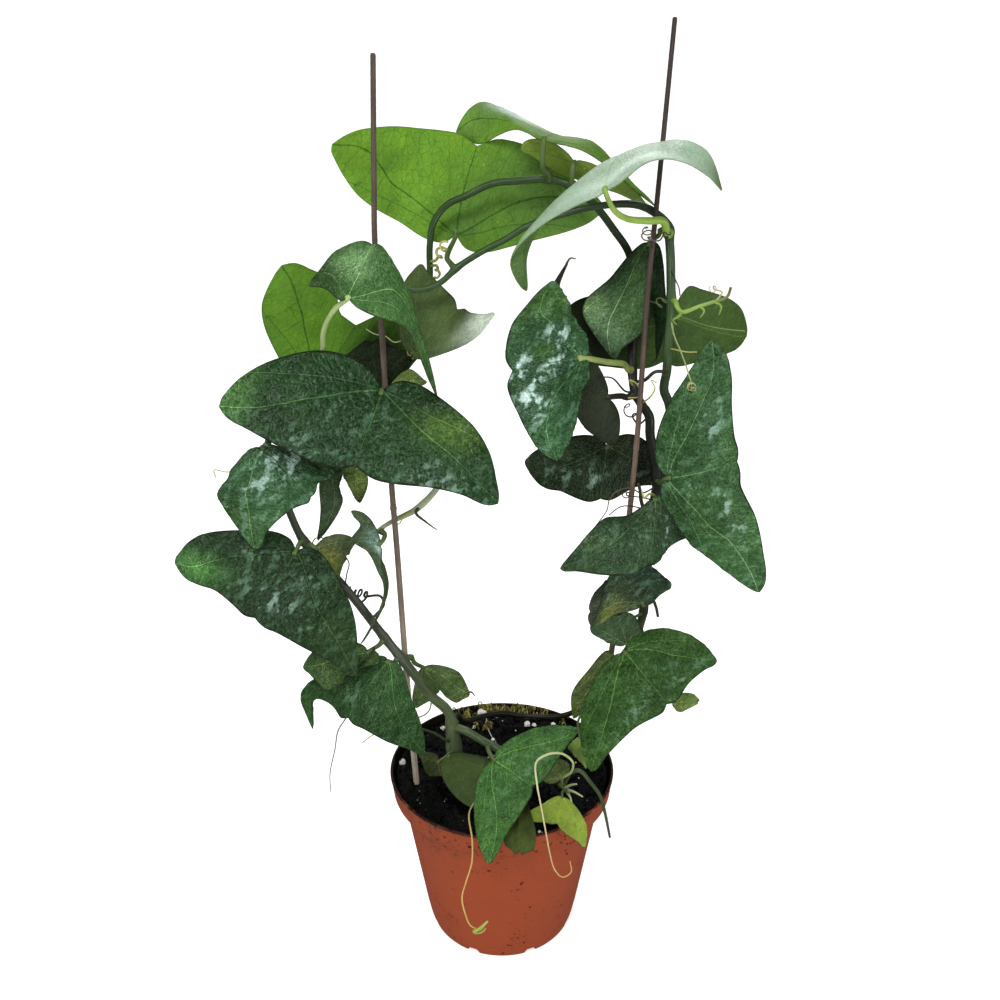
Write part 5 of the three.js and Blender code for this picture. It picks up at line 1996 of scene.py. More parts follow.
STEMS = (
    Stem(
        name="vine_left", widths=((0, 4.2), (0.06, 4.6), (0.12, 4.2), (0.19, 2.6), (0.5, 2.1), (1, 1.4)),
        colours=(
            (58, 70, 46), (84, 96, 66), (92, 106, 72), (76, 88, 62), (64, 70, 56), (56, 62, 50),
            (56, 62, 50), (60, 70, 52), (68, 84, 54), (72, 90, 56),
        ),
        marks=(
            (453, 735, 8), (449, 713, 5), (430, 695, -4), (415, 675, -13.8), (403, 660, -18.2),
            (385, 638, -18.6), (353, 597, -20), (325, 565, -21), (302, 538, -20), (291, 515, -18),
            (284, 495, -16), (272, 460, -12), (268, 443, -10), (280, 420, -6), (310, 404, -3),
        ),
    ),
    Stem(
        name="vine_arch", parent="vine_left", fork=(451, 722, 6),
        widths=((0, 1.6), (0.16, 1.5), (0.3, 2), (0.5, 2.2), (0.66, 1.7), (1, 1.25)),
        # darker at the crown and nearly black where it runs under the crest leaves: painted shade
        colours=(
            (34, 36, 24), (26, 24, 18), (22, 20, 16), (24, 24, 18), (38, 44, 26), (58, 74, 38),
            (60, 76, 40), (50, 66, 34), (34, 42, 28), (30, 36, 26), (30, 34, 26), (30, 34, 24),
            (22, 26, 18), (9, 11, 7), (12, 14, 10), (38, 60, 28), (44, 70, 32), (46, 72, 32), (46, 72, 32),
            (44, 70, 32), (50, 78, 34), (48, 70, 36), (48, 66, 36),
        ),
        marks=(
            (464, 721, 18), (484, 716, 30), (499, 713, 37), (527, 716, 42), (560, 716, 38), (585, 706, 27),
            (604, 688, 17), (625, 655, 8), (640, 625, 3), (645, 600, 1), (648, 560, 0), (652, 520, -1),
            (657, 478, -1), (653, 454, -1), (650, 435, -1), (649, 416, 0), (641, 404, 1), (635, 392, 2),
            (632, 368, 6), (633, 330, 9), (634, 290, 9), (629, 254, 7), (613, 229, 4), (597, 208, 3),
            (578, 190, 4), (553, 180, 5), (520, 181, 6), (492, 184, 6), (466, 196, 5), (447, 205, 5),
            (434, 222, 5), (430, 245, 5), (430, 280, 5), (426, 335, 5), (412, 361, 4), (392, 378, 3),
            (365, 392, 2),
        ),
    ),
    Stem(
        name="vine_outer", parent="vine_arch", fork=(660, 474, -1),
        widths=((0, 1.7), (0.15, 2.1), (0.45, 1.9), (0.6, 1.5), (1, 1.25)),
        colours=(
            (40, 40, 34), (40, 40, 34), (44, 44, 36), (56, 72, 44), (64, 88, 50), (62, 86, 50),
            (54, 72, 48), (52, 66, 48), (48, 62, 42), (46, 62, 40), (48, 70, 40), (52, 76, 40),
            (54, 80, 42), (56, 82, 44), (60, 84, 46),
        ),
        marks=(
            (669, 450, 3), (671, 425, 3), (669, 404, 2), (664, 390, 1), (667, 370, 0), (668, 348, -1),
            (671, 314, -2), (671, 281, -2), (670, 247, -2), (667, 225, -2.5), (655, 213, -3),
            (637, 205, -3), (600, 206, -3), (560, 215, -3), (526, 227, -4), (508, 238, -5), (480, 253, -7),
            (457, 268, -9), (440, 283, -10), (421, 290, -11), (398, 288, -12),
        ),
    ),
    Stem(
        name="shoot_front", parent="vine_left", fork=(453, 728, 6), widths=((0, 2.4), (0.5, 2), (1, 1)),
        slot="stem_green", sides=12,
        colours=((78, 92, 56), (64, 82, 44), (58, 76, 40), (70, 90, 48), (96, 118, 70)),
        marks=(
            (466, 731, 3), (481, 740, 0), (496, 748, -5), (520, 760, -10), (545, 772, -15), (562, 786, -22),
            (570, 793, -26),
        ),
    ),
    Stem(
        name="shoot_left", parent="vine_arch", fork=(405, 368, 4),
        widths=((0, 1.1), (0.5, 1.2), (0.75, 1.7), (1, 0.9)), slot="stem_green", sides=12,
        colours=((160, 174, 136), (168, 180, 144), (162, 174, 138), (150, 156, 126)),
        marks=(
            (412, 380, 4), (432, 400, 1), (446, 440, -3), (444, 475, -4), (434, 492, -5), (415, 510, -6),
            (397, 519, -6), (386, 525, -9), (377, 532, -13),
        ),
    ),
    Stem(
        name="shoot_right", parent="vine_outer", fork=(671, 300, -2),
        widths=((0, 1.3), (0.16, 1.2), (0.3, 0.9), (1, 0.6)), slot="stem_green", sides=12,
        colours=((116, 152, 60), (134, 168, 72), (138, 172, 80), (128, 150, 74), (96, 70, 46)),
        marks=(
            (677, 307, -8), (682, 312, -10), (700, 306, -10), (716, 301, -10), (727, 297, -10),
            (731, 287, -10),
        ),
    ),
)

STAKES = (
    Stake(
        name="stake_left", foot=(416.6, 783), buried=22.0, top_radius=1.15,
        marks=(
            (406.5, 673, -12.2), (396.6, 544, -11.2), (392, 490, -10.8), (385, 384, -9.6), (382, 335, -9),
            (375, 245, -8), (374, 180, -7), (373, 53, -5),
        ),
        joints=((393, 508, -11), (382, 335, -9)),
        colours=(
            (200, 190, 168), (184, 174, 152), (138, 126, 106), (120, 104, 90), (112, 96, 84), (98, 82, 72),
            (88, 74, 66),
        ),
    ),
    Stake(
        name="stake_right", foot=(590, 756), buried=12.0,
        marks=(
            (613, 642, -1), (630, 508, -6), (637.3, 435, -8), (643, 358, -8), (647, 300, -7.5),
            (656.6, 205, -6), (663, 140, -5), (675, 17, -4),
        ),
        joints=((650, 272, -7), (636, 447, -8)),
        colours=(
            (84, 72, 60), (92, 80, 64), (108, 92, 74), (106, 88, 74), (76, 62, 54), (62, 50, 46),
            (58, 48, 44),
        ),
    ),
)

FINE = (116, 42)
COARSE = (48, 20)

# a bloom's fourth number and a leaf's glint share are painted glints; lit leaves have painted backlight
LEAVES = (
    Leaf("leaf_crest_broad", "vine_outer", (455, 269, -9), knees=((447, 258, -4),), upper=(62, 92, 42),
        under=(98, 142, 40), face=Face.UNDER, slot="leaf_light", grain=FINE, blister=0.25, lit=True,
        edge=(84, 116, 40),
        # the first bloom darkens the right lobe: painted shade
        blooms=(
            Bloom((0.62, 0.3), (0.42, 0.4), (74, 106, 44)), Bloom((0.1, 0.1), (0.2, 0.2), (80, 116, 44))),
        marks=dict(
            base=(456, 235, 11), notch=(477, 146, 20), leftTip=(332, 144, 8), rightTip=(604, 206, 14),
            leftShoulder=(400, 222, 10), leftEnd=(344, 177, 8), leftBelly=(410, 127, 16),
            leftVein=(392, 183, 13), rightShoulder=(505, 248, 12), rightEnd=(583, 226, 14),
            rightBelly=(540, 152, 18), leftEdge=(362, 129, 11))),
    Leaf("leaf_crest_back", "vine_arch", (549, 181, 5), knees=((543, 168, -3),), upper=(92, 128, 56),
        under=(94, 134, 44), face=Face.UNDER, slot="leaf_light", blister=0.2, lit=True, edge=(70, 96, 44),
        # the pale bloom is a painted sheen
        blooms=(Bloom((-0.3, 0.49), (0.26, 0.13), (200, 218, 210)),),
        marks=dict(
            base=(544, 139, -4), notch=(557, 134, 20), leftTip=(456, 132, 26), rightTip=(655, 206, 6),
            leftShoulder=(515, 130, 9), leftEnd=(477, 144, 22), leftEdge=(468, 109, 28),
            leftBelly=(492, 105, 26), rightShoulder=(585, 153, 2), rightBelly=(603, 150, 14),
            leftBrow=(529, 120, 24), rightBrow=(580, 139, 17))),
    Leaf("leaf_crest_edge", "vine_arch", (570, 187, 4), knees=((572, 178, -4), (573, 166, -5)),
        upper=(52, 74, 34), under=(112, 136, 54), face=Face.UNDER, slot="leaf_green", blister=0.2, lit=True,
        edge=(52, 68, 30),
        marks=dict(
            base=(574, 162, 0), notch=(577, 180, 12), leftTip=(521, 150, 7), rightTip=(648, 208, 6),
            leftShoulder=(548, 140, 2), leftBelly=(546, 165, 10), rightShoulder=(603, 168, -1),
            rightBelly=(608, 190, 9))),
    Leaf("leaf_crest_long", "vine_outer", (669, 232, -2),
        knees=((664, 222, -8.5), (648, 221, -12), (628, 219, -20), (614, 210, -28)), petiole=1.9,
        # the pale upper tint and the pale bloom along the middle are a painted reflection
        stalk=((118, 152, 52), (146, 178, 76), (132, 162, 72)), upper=(154, 180, 154), under=(74, 102, 54),
        slot="leaf_green", blister=0.15, silvery=True, slim=0.5, edge=(120, 142, 104),
        blooms=(
            Bloom((-0.86, 0.3), (0.24, 0.3), (112, 142, 72)), Bloom((0.9, 0.4), (0.1, 0.2), (84, 112, 60)),
            Bloom((0.2, 0.1), (0.5, 0.08), (200, 220, 204))),
        marks=dict(
            base=(605, 190, -34), notch=(618, 155, -14), leftTip=(527, 291, -30), rightTip=(722, 190, -26),
            leftShoulder=(574, 208, -36), leftBelly=(560, 199, -18), leftEnd=(510, 261, -32),
            leftEdge=(527, 262, -24), rightShoulder=(649, 162, -36), rightBelly=(662, 143, -14),
            rightEnd=(708, 176, -32), rightEdge=(712, 156, -18))),
    Leaf("leaf_left_backlit", "vine_left", (308, 405, -3), knees=((315, 395, 4),), upper=(52, 82, 32),
        under=(84, 126, 34), face=Face.UNDER, slot="leaf_light", lit=True, edge=(60, 84, 40),
        blooms=(Bloom((0.5, 0.15), (0.4, 0.25), (46, 76, 26)),),
        marks=dict(
            base=(322, 380, 8), notch=(356, 325, 14), leftTip=(282, 265, 16), rightTip=(426, 335, 12),
            leftShoulder=(285, 368, 9), leftEnd=(262, 304, 14), leftBelly=(334, 284, 15),
            rightShoulder=(365, 378, 9), rightEnd=(412, 362, 11), rightBelly=(385, 311, 14),
            leftBrow=(341, 315, 14.5), rightBrow=(376, 316, 14), leftEdge=(303, 265, 15.5))),
    Leaf("leaf_left_drooping", "vine_left", (300, 410, -4),
        knees=((321, 360, -9), (324, 330, -18), (335, 309, -26)), upper=(56, 94, 44), under=(80, 108, 58),
        grain=FINE, petiole=1.4, stalk=((140, 160, 100), (160, 184, 120)),
        # the pale second bloom is a painted highlight along the fold
        blooms=(
            Bloom((-0.5, 0.2), (0.3, 0.3), (52, 82, 42)), Bloom((-0.1, 0.35), (0.3, 0.14), (104, 146, 92))),
        marks=dict(
            base=(348, 298, -30), notch=(372, 244, -14), leftTip=(310, 281, -34), rightTip=(437, 396, -28),
            leftShoulder=(328, 291, -34), leftBelly=(332, 254, -20), rightShoulder=(392, 322, -34),
            rightEnd=(420, 356, -32), rightEdge=(424, 340, -24), rightBelly=(398, 272, -18),
            mid=(358, 276, -27))),
    Leaf("leaf_left_shaded", "vine_arch", (418, 352, 4), upper=(52, 74, 40), under=(68, 88, 46),
        # the pale bloom on the right lobe is a painted highlight
        face=Face.UNDER, blooms=(Bloom((0.78, 0.37), (0.3, 0.3), (204, 220, 202)),),
        marks=dict(
            base=(412, 352, -5), notch=(457, 309, -1), leftTip=(420, 264, -4), rightTip=(495, 314, 8),
            leftShoulder=(398, 312, -6), leftBelly=(436, 280, -2), rightShoulder=(440, 355, -4),
            rightEnd=(480, 334, 6), rightBelly=(473, 313, 4))),
    Leaf("leaf_left_broad", "vine_arch", (362, 392, 2), knees=((368, 400, -6),), upper=(26, 54, 24),
        under=(58, 80, 46), grain=FINE, blister=0.5,
        blooms=(
            Bloom((-0.35, 0.44), (0.4, 0.1), None, 0.4), Bloom((0.5, 0.42), (0.4, 0.12), None, 0.5),
            Bloom((-0.1, 0.2), (0.3, 0.2), None, 0.25), Bloom((0.55, 0.12), (0.22, 0.1), (62, 94, 34)),
            Bloom((-0.85, 0.36), (0.12, 0.2), (56, 98, 44))),
        marks=dict(
            base=(382, 390, -18), notch=(355, 466, -44), leftTip=(219, 407, -34), rightTip=(498, 504, -44),
            leftShoulder=(318, 351, -16), leftEnd=(242, 376, -26), leftBelly=(286, 450, -43),
            leftVein=(302, 400, -32), rightShoulder=(436, 395, -24), rightEnd=(490, 453, -36),
            rightBelly=(430, 488, -50), rightVein=(432, 440, -38), leftEdge=(236, 424, -38),
            rightEdge=(475, 501, -48))),
    # the dark tints of the next leaf stand for the deep shade that it lies in: painted shade
    Leaf("leaf_left_dark", "vine_arch", (388, 381, 3), knees=((386, 388, -2),), upper=(34, 48, 28),
        under=(20, 32, 17), grain=COARSE, blister=0.2,
        marks=dict(
            base=(378, 392, -4), notch=(372, 342, -3), leftTip=(336, 362, -3), rightTip=(411, 353, -1),
            rightShoulder=(395, 384, -3), leftShoulder=(358, 388, -4))),
    Leaf("leaf_left_lobed", "shoot_left", (418, 386, 4), upper=(136, 170, 92), under=(84, 110, 58),
        slot="leaf_green", grain=COARSE, blister=0.2,
        marks=dict(
            base=(396, 392, -4), notch=(405, 371, -3), leftTip=(374, 404, -6), rightTip=(427, 382, -4),
            rightShoulder=(412, 388, -5), leftShoulder=(384, 406, -7))),
    Leaf("leaf_left_shiny", "vine_left", (270, 453, -11), upper=(45, 81, 45), under=(58, 80, 46), grain=FINE,
        blister=0.9, painted_glint=0.28,
        blooms=(
            Bloom((0.2, 0.08), (0.5, 0.16), None, 1.0), Bloom((0.1, 0.26), (0.34, 0.1), None, 0.8),
            Bloom((-0.3, 0.22), (0.34, 0.2), None, 0.6), Bloom((-0.8, 0.25), (0.24, 0.3), (40, 72, 32))),
        marks=dict(
            base=(262, 447, -22), notch=(311, 497, -32), leftTip=(255, 549, -38), rightTip=(343, 469, -20),
            leftShoulder=(226, 480, -28), leftEnd=(226, 511, -32), leftBelly=(287, 513, -36),
            leftVein=(246, 492, -36), rightShoulder=(297, 456, -21), rightBelly=(328, 480, -28),
            leftBrow=(303, 504.5, -34), rightBrow=(317, 485, -28))),
    Leaf("leaf_left_wide", "vine_left", (303, 540, -20), upper=(25, 49, 22), under=(56, 78, 44), grain=FINE,
        blister=0.6, painted_glint=0.08,
        blooms=(
            Bloom((0.1, 0.34), (0.5, 0.14), None, 0.5), Bloom((0.25, 0.12), (0.3, 0.14), None, 0.35),
            Bloom((-0.3, 0.1), (0.3, 0.1), None, 0.4), Bloom((-0.7, 0.36), (0.24, 0.1), (58, 104, 46)),
            Bloom((0.75, 0.3), (0.2, 0.2), (36, 62, 28))),
        marks=dict(
            base=(296, 551, -29), notch=(255, 618, -46), leftTip=(175, 563, -36), rightTip=(356, 676, -46),
            leftShoulder=(245, 530, -26), leftEnd=(190, 541, -33), leftBelly=(213, 590, -44),
            leftVein=(232, 557, -38), rightShoulder=(334, 570, -33), rightEnd=(356, 628, -40),
            rightBelly=(300, 646, -52), rightVein=(316, 606, -46), leftBrow=(238, 609, -46),
            rightBrow=(273, 631, -50), leftEdge=(188, 580, -41))),
    Leaf("leaf_left_tucked", "vine_left", (385, 638, -18), upper=(60, 88, 46), under=(60, 84, 46),
        slot="leaf_green", blister=0.4,
        marks=dict(
            base=(368, 652, -28), notch=(335, 687, -43), leftTip=(303, 667, -45), rightTip=(377, 664, -32),
            leftShoulder=(335, 640, -34), leftBelly=(318, 684, -45), rightShoulder=(375, 650, -27),
            rightBelly=(358, 670, -37))),
    Leaf("leaf_left_low", "vine_left", (398, 655, -17), upper=(36, 68, 30), under=(58, 80, 46), grain=FINE,
        blister=0.4, painted_glint=0.06, blooms=(Bloom((-0.2, 0.3), (0.4, 0.14), None, 0.3),),
        marks=dict(
            base=(388, 661, -23), notch=(348, 718, -44), leftTip=(313, 729, -38), rightTip=(424, 754, -34),
            rightShoulder=(409, 690, -28), rightEnd=(422, 728, -31), rightBelly=(385, 741, -42),
            leftShoulder=(344, 666, -29), leftEnd=(301, 699, -36), leftEdge=(313, 708, -38),
            leftBelly=(328, 703, -40), rightBrow=(360, 727, -44))),
    Leaf("leaf_left_small", "vine_left", (404, 661, -16), knees=((414, 662, -14),), upper=(74, 100, 54),
        under=(68, 92, 48), slot="leaf_green",
        marks=dict(
            base=(424, 668, -5), notch=(440, 690, -0.5), leftTip=(416, 708, 8), rightTip=(470, 694, -4),
            leftShoulder=(414, 686, 7), leftBelly=(432, 699, 6), rightShoulder=(448, 667, -6),
            rightEnd=(464, 679, -6), rightBelly=(457, 703, -2))),
    Leaf("leaf_left_strap", "vine_left", (312, 403, -3), knees=((330, 418, -8),), upper=(50, 70, 44),
        under=(58, 78, 46), grain=FINE, blooms=(Bloom((0.5, 0.2), (0.4, 0.5), (96, 122, 56)),),
        marks=dict(
            base=(345, 434, -12), notch=(342, 474, -10), leftTip=(318, 541, -16), rightTip=(360, 503, -12),
            leftShoulder=(321, 478, -17), leftEnd=(320, 512, -18), leftBelly=(340, 492, -12),
            leftEdge=(336, 517, -14), rightShoulder=(366, 472, -12), rightBelly=(348, 486, -9))),
    Leaf("leaf_left_folded", "shoot_left", (380, 530, -12), upper=(74, 98, 64), under=(58, 74, 48),
        # the teal bloom is a painted highlight
        grain=FINE, blooms=(Bloom((0.0, 0.06), (0.34, 0.2), (110, 146, 126), 0.9),),
        marks=dict(
            base=(380, 544, -18), notch=(354, 542, -9), leftTip=(351, 511, -10), rightTip=(361, 644, -27),
            leftShoulder=(373, 524, -16), leftBelly=(360, 525, -10), rightShoulder=(381, 567, -22),
            rightBelly=(377, 571, -14), rightEnd=(383, 609, -26), rightEdge=(379, 612, -21),
            rightBrow=(366, 550, -10))),
    Leaf("leaf_left_olive", "vine_left", (309, 545, -20.5), upper=(76, 94, 60), under=(70, 86, 56),
        slot="leaf_green", blooms=(Bloom((-0.35, 0.16), (0.4, 0.26), (124, 140, 60)),),
        marks=dict(
            base=(316, 549, -25), notch=(346, 556, -19), rightTip=(357, 540, -15), leftTip=(338, 580, -26),
            rightShoulder=(332, 535, -20), rightBelly=(352, 549, -15), leftShoulder=(320, 563, -27),
            leftBelly=(343, 566, -21))),
    Leaf("leaf_right_blistered", "vine_arch", (633, 370, 6), knees=((625, 365, 0), (606, 362, -14)),
        upper=(40, 75, 41), under=(58, 80, 46), grain=FINE, blister=1.1, petiole=1.5,
        stalk=((120, 140, 70), (150, 166, 96)), painted_glint=0.22,
        blooms=(
            Bloom((-0.28, 0.14), (0.2, 0.14), None, 1.0), Bloom((0.0, 0.42), (0.18, 0.13), None, 1.0),
            Bloom((0.03, 0.2), (0.16, 0.13), None, 1.0), Bloom((0.34, 0.36), (0.36, 0.16), None, 1.0),
            Bloom((-0.72, 0.3), (0.22, 0.3), (54, 88, 38)),
            Bloom((-0.14, 0.28), (0.08, 0.07), (54, 92, 40))),
        marks=dict(
            base=(582, 358, -28), notch=(512, 371, -52), leftTip=(551, 281, -33), rightTip=(557, 461, -53),
            leftShoulder=(577, 322, -26), leftEnd=(563, 293, -31), leftBelly=(511, 327, -49),
            leftEdge=(531, 299, -42), leftVein=(550, 322, -43), rightShoulder=(583, 393, -33),
            rightEnd=(571, 436, -44), rightBelly=(518, 414, -58), rightEdge=(536, 446, -57),
            rightVein=(553, 400, -52))),
    Leaf("leaf_right_brown", "vine_arch", (635, 394, 2), knees=((622, 396, 0),), petiole=1.6,
        upper=(36, 48, 30), under=(38, 46, 32), face=Face.UNDER, blister=0.35,
        stalk=((40, 36, 26), (48, 44, 32)),
        marks=dict(
            base=(608, 397, -6), notch=(570, 392, -18), leftTip=(568, 261, -20), rightTip=(608, 444, -12),
            leftShoulder=(588, 350, -8), leftEnd=(560, 288, -18), leftEdge=(553.5, 283, -22),
            leftBelly=(556, 330, -22), rightShoulder=(620, 424, -7), rightBelly=(586, 430, -14))),
    Leaf("leaf_right_cupped", "vine_outer", (668, 229, -2), knees=((660, 234, 1),), upper=(20, 42, 18),
        under=(52, 74, 40), blister=0.25,
        # the pale blooms on the left side are painted highlights
        blooms=(
            Bloom((-0.7, 0.2), (0.16, 0.3), (84, 118, 78)), Bloom((-0.3, 0.3), (0.3, 0.2), (58, 90, 48))),
        marks=dict(
            base=(649, 243, 1), notch=(651, 300, 5), leftTip=(612, 358, 1), rightTip=(656, 362, 6),
            leftShoulder=(610, 278, 1), leftEnd=(584, 318, 1), leftBelly=(640, 336, 2),
            rightShoulder=(664, 275, 4), rightEnd=(665, 330, 3), rightBelly=(656, 338, 7),
            rightNeck=(661, 248, 3))),
    Leaf("leaf_right_back", "vine_outer", (671, 313, -2), upper=(52, 78, 38), under=(58, 84, 34),
        face=Face.UNDER, slot="leaf_green", grain=FINE,
        # the near-black bloom on the left lobe is painted shadow
        blooms=(Bloom((-0.6, 0.2), (0.44, 0.6), (8, 14, 5)),),
        marks=dict(
            base=(670, 318, 10), notch=(664, 361, 17), leftTip=(566, 325, 12), rightTip=(747, 336, 18),
            leftShoulder=(625, 292, 14), leftEnd=(571, 304, 13), leftBelly=(608, 367, 14),
            rightShoulder=(700, 289, 11), rightEnd=(741, 308, 16), rightBelly=(700, 362, 20),
            leftEdge=(578, 352, 14), rightEdge=(735, 350, 20), rightNeck=(686, 289, 10))),
    Leaf("leaf_right_long", "vine_arch", (660, 480, -1), upper=(47, 81, 43), under=(64, 90, 54), grain=FINE,
        blister=0.6, painted_glint=0.18,
        blooms=(
            Bloom((-0.4, 0.32), (0.3, 0.14), None, 0.55), Bloom((0.4, 0.36), (0.36, 0.1), None, 0.55),
            Bloom((0.1, 0.2), (0.2, 0.12), None, 0.4)),
        marks=dict(
            base=(667, 478, -18), notch=(737, 462, -38), leftTip=(713, 340, -24), rightTip=(760, 592, -40),
            leftShoulder=(661, 424, -16), leftEnd=(687, 374, -19), leftBelly=(732, 400, -34),
            leftEdge=(728, 358, -28), leftVein=(697, 415, -32), rightShoulder=(674, 518, -22),
            rightEnd=(712, 562, -31), rightBelly=(755, 514, -44), rightEdge=(766, 568, -43),
            rightVein=(712, 528, -38), leftBrow=(735, 440, -37), rightBrow=(740, 483, -41))),
    Leaf("leaf_right_dark", "vine_arch", (655, 446, -1), knees=((650, 448, 11), (630, 450, 13)),
        upper=(33, 49, 28), under=(34, 46, 28), blister=0.5,
        # the near-black first bloom on the right part is painted shade
        blooms=(
            Bloom((0.62, 0.2), (0.4, 0.4), (12, 20, 9)), Bloom((-0.12, 0.3), (0.2, 0.14), None, 0.5),
            Bloom((-0.5, 0.3), (0.34, 0.16), None, 0.45), Bloom((0.4, 0.36), (0.2, 0.1), None, 0.3)),
        marks=dict(
            base=(607, 446, 5), notch=(600, 499, -8), leftTip=(525, 464, -16), rightTip=(669, 487, 7),
            leftShoulder=(570, 437, -2), leftEnd=(533, 452, -12), leftBelly=(560, 491, -18),
            rightShoulder=(640, 437, 6), rightEnd=(664, 465, 7), rightBelly=(637, 487, 2),
            leftEdge=(537, 483, -17))),
    Leaf("leaf_right_middle", "vine_arch", (656, 496, -1), upper=(43, 68, 40), under=(50, 70, 42),
        blister=0.7, painted_glint=0.16,
        blooms=(Bloom((0.3, 0.25), (0.3, 0.2), None, 0.6), Bloom((-0.3, 0.3), (0.4, 0.16), None, 0.35)),
        marks=dict(
            base=(655, 499, -11), notch=(648, 565, -36), leftTip=(560, 569, -34), rightTip=(688, 536, -14),
            leftShoulder=(607, 517, -20), leftEnd=(576, 548, -30), leftBelly=(600, 575, -40),
            leftVein=(612, 544, -32), rightShoulder=(674, 508, -9), rightEnd=(683, 526, -12),
            rightBelly=(668, 549, -24), leftNeck=(631, 514, -15))),
    Leaf("leaf_right_young", "vine_arch", (645, 600, 1), upper=(38, 59, 40), under=(56, 76, 48), blister=0.5,
        painted_glint=0.25, blooms=(Bloom((-0.6, 0.1), (0.4, 0.25), (90, 104, 50)),),
        marks=dict(
            base=(642, 603, -14), notch=(618, 569, -28), rightTip=(671, 582, -20), leftTip=(592, 624, -26),
            rightShoulder=(657, 598, -14), rightBelly=(650, 566, -24), leftShoulder=(617, 614, -20),
            leftBelly=(601, 599, -30))),
    Leaf("leaf_right_tucked", "vine_arch", (637, 632, 3), upper=(62, 88, 56), under=(58, 78, 50),
        grain=COARSE, blister=0.4,
        marks=dict(
            base=(626, 644, -8), notch=(618, 615, -16), leftTip=(590, 627, -20), rightTip=(643, 629, -8),
            leftShoulder=(603, 640, -13), rightShoulder=(638, 638, -6), rightBelly=(634, 615, -11))),
    Leaf("leaf_right_rolled", "vine_arch", (643, 612, 2), knees=((631, 617, -7),), petiole=0.8,
        upper=(86, 100, 80), under=(58, 70, 52), blister=0.5,
        marks=dict(
            base=(613, 613, -6), notch=(590, 612, -12), leftTip=(607, 643, -8), rightTip=(606, 580, -14),
            leftShoulder=(614, 630, -6), leftBelly=(592, 629, -12), rightShoulder=(614, 596, -10),
            rightBelly=(593, 595, -16))),
    Leaf("leaf_right_low", "vine_arch", (626, 654, 8), upper=(42, 76, 28), under=(58, 84, 46),
        slot="leaf_green", grain=FINE, blister=0.45, painted_glint=0.08,
        blooms=(Bloom((0.4, 0.4), (0.4, 0.12), None, 0.4), Bloom((-0.3, 0.4), (0.3, 0.1), None, 0.4)),
        marks=dict(
            base=(625, 652, -22), notch=(667, 703, -46), rightTip=(717, 661, -34), leftTip=(592, 772, -44),
            rightShoulder=(662, 628, -24), rightEnd=(704, 644, -30), rightBelly=(691, 681, -44),
            rightVein=(672, 655, -38), leftShoulder=(586, 700, -26), leftEnd=(581, 745, -35),
            leftBelly=(634, 729, -50), leftVein=(609, 712, -42))),
    Leaf("leaf_right_bronze", "vine_arch", (614, 672, 11), knees=((614, 663, 4),), upper=(62, 80, 38),
        under=(62, 74, 42),
        marks=dict(
            base=(617, 660, -8), notch=(612, 690, -16), leftTip=(573, 718, -10), rightTip=(640, 688, -9),
            leftShoulder=(590, 668, -11), leftEnd=(571, 697, -12), leftBelly=(596, 706, -14),
            leftNeck=(606, 651, -8), rightNeck=(627, 664, -8))),
    Leaf("leaf_right_tiny", "vine_arch", (604, 688, 17), knees=((625, 700, -4), (650, 705, -20)),
        petiole=0.7, upper=(130, 164, 84), under=(108, 134, 72), slot="leaf_light", grain=COARSE,
        blister=0.2,
        marks=dict(
            base=(675, 702, -30), notch=(698, 702, -34), leftTip=(682, 712, -33), rightTip=(694, 694, -31),
            leftShoulder=(674, 708, -31), rightShoulder=(680, 694, -29))),
    Leaf("leaf_pot_front", "shoot_front", (492, 746, -4), upper=(54, 96, 40), under=(74, 102, 58),
        slot="leaf_green", grain=FINE, blister=0.4, painted_glint=0.08,
        blooms=(Bloom((0.1, 0.3), (0.4, 0.14), None, 0.3),),
        marks=dict(
            base=(494, 760, -22), notch=(533, 787, -46), rightTip=(579, 729, -14), leftTip=(490, 864, -73),
            rightShoulder=(528, 730, -14), rightEnd=(566, 726, -10), rightBelly=(560, 757, -30),
            leftShoulder=(474, 806, -45), leftEnd=(479, 845, -66), leftBelly=(520, 814, -60),
            leftEdge=(502, 845, -70))),
    Leaf("leaf_pot_shaded", "vine_left", (455, 745, 9), upper=(44, 56, 28), under=(54, 72, 32),
        face=Face.UNDER,
        marks=dict(
            base=(448, 756, -6), notch=(484, 768, -18), leftTip=(474, 808, -38), rightTip=(500, 762, -8),
            leftShoulder=(443, 779, -18), leftBelly=(483, 792, -29), rightShoulder=(466, 754, -3))),
    Leaf("leaf_pot_lip", "shoot_front", (528, 764, -11), upper=(44, 58, 28), under=(64, 78, 34),
        face=Face.UNDER,
        marks=dict(
            base=(520, 790, -34), notch=(519, 851, -68), leftTip=(505, 845, -65), rightTip=(534, 850, -67),
            leftShoulder=(506, 812, -50), rightShoulder=(531, 814, -51), leftEnd=(502, 832, -60),
            rightEnd=(536, 836, -62), mid=(519, 824, -56))),
    Leaf("leaf_pot_new", "shoot_front", (567, 791, -24), petiole=0.8, upper=(104, 124, 46),
        under=(132, 156, 58), face=Face.UNDER, slot="leaf_light",
        marks=dict(
            base=(562, 798, -34), notch=(557, 824, -53), leftTip=(520, 821, -50), rightTip=(585, 847, -60),
            leftShoulder=(544, 803, -39), leftBelly=(538, 822, -52), rightShoulder=(580, 812, -44.5),
            rightBelly=(570, 837, -61), rightEnd=(587, 833, -54))),
    Leaf("leaf_pot_bud", "shoot_front", (559, 783, -21), petiole=0.7, upper=(102, 128, 72),
        under=(84, 100, 50), slot="leaf_light", grain=COARSE, blister=0.2,
        marks=dict(
            base=(563, 776, -20.5), notch=(551, 771, -22), leftTip=(539, 775, -28),
            rightTip=(557, 758, -13), leftShoulder=(552, 784, -28), rightShoulder=(570, 767, -18))),
    Leaf("leaf_pot_side", "vine_arch", (585, 706, 26), knees=((578, 722, 16),), petiole=0.8,
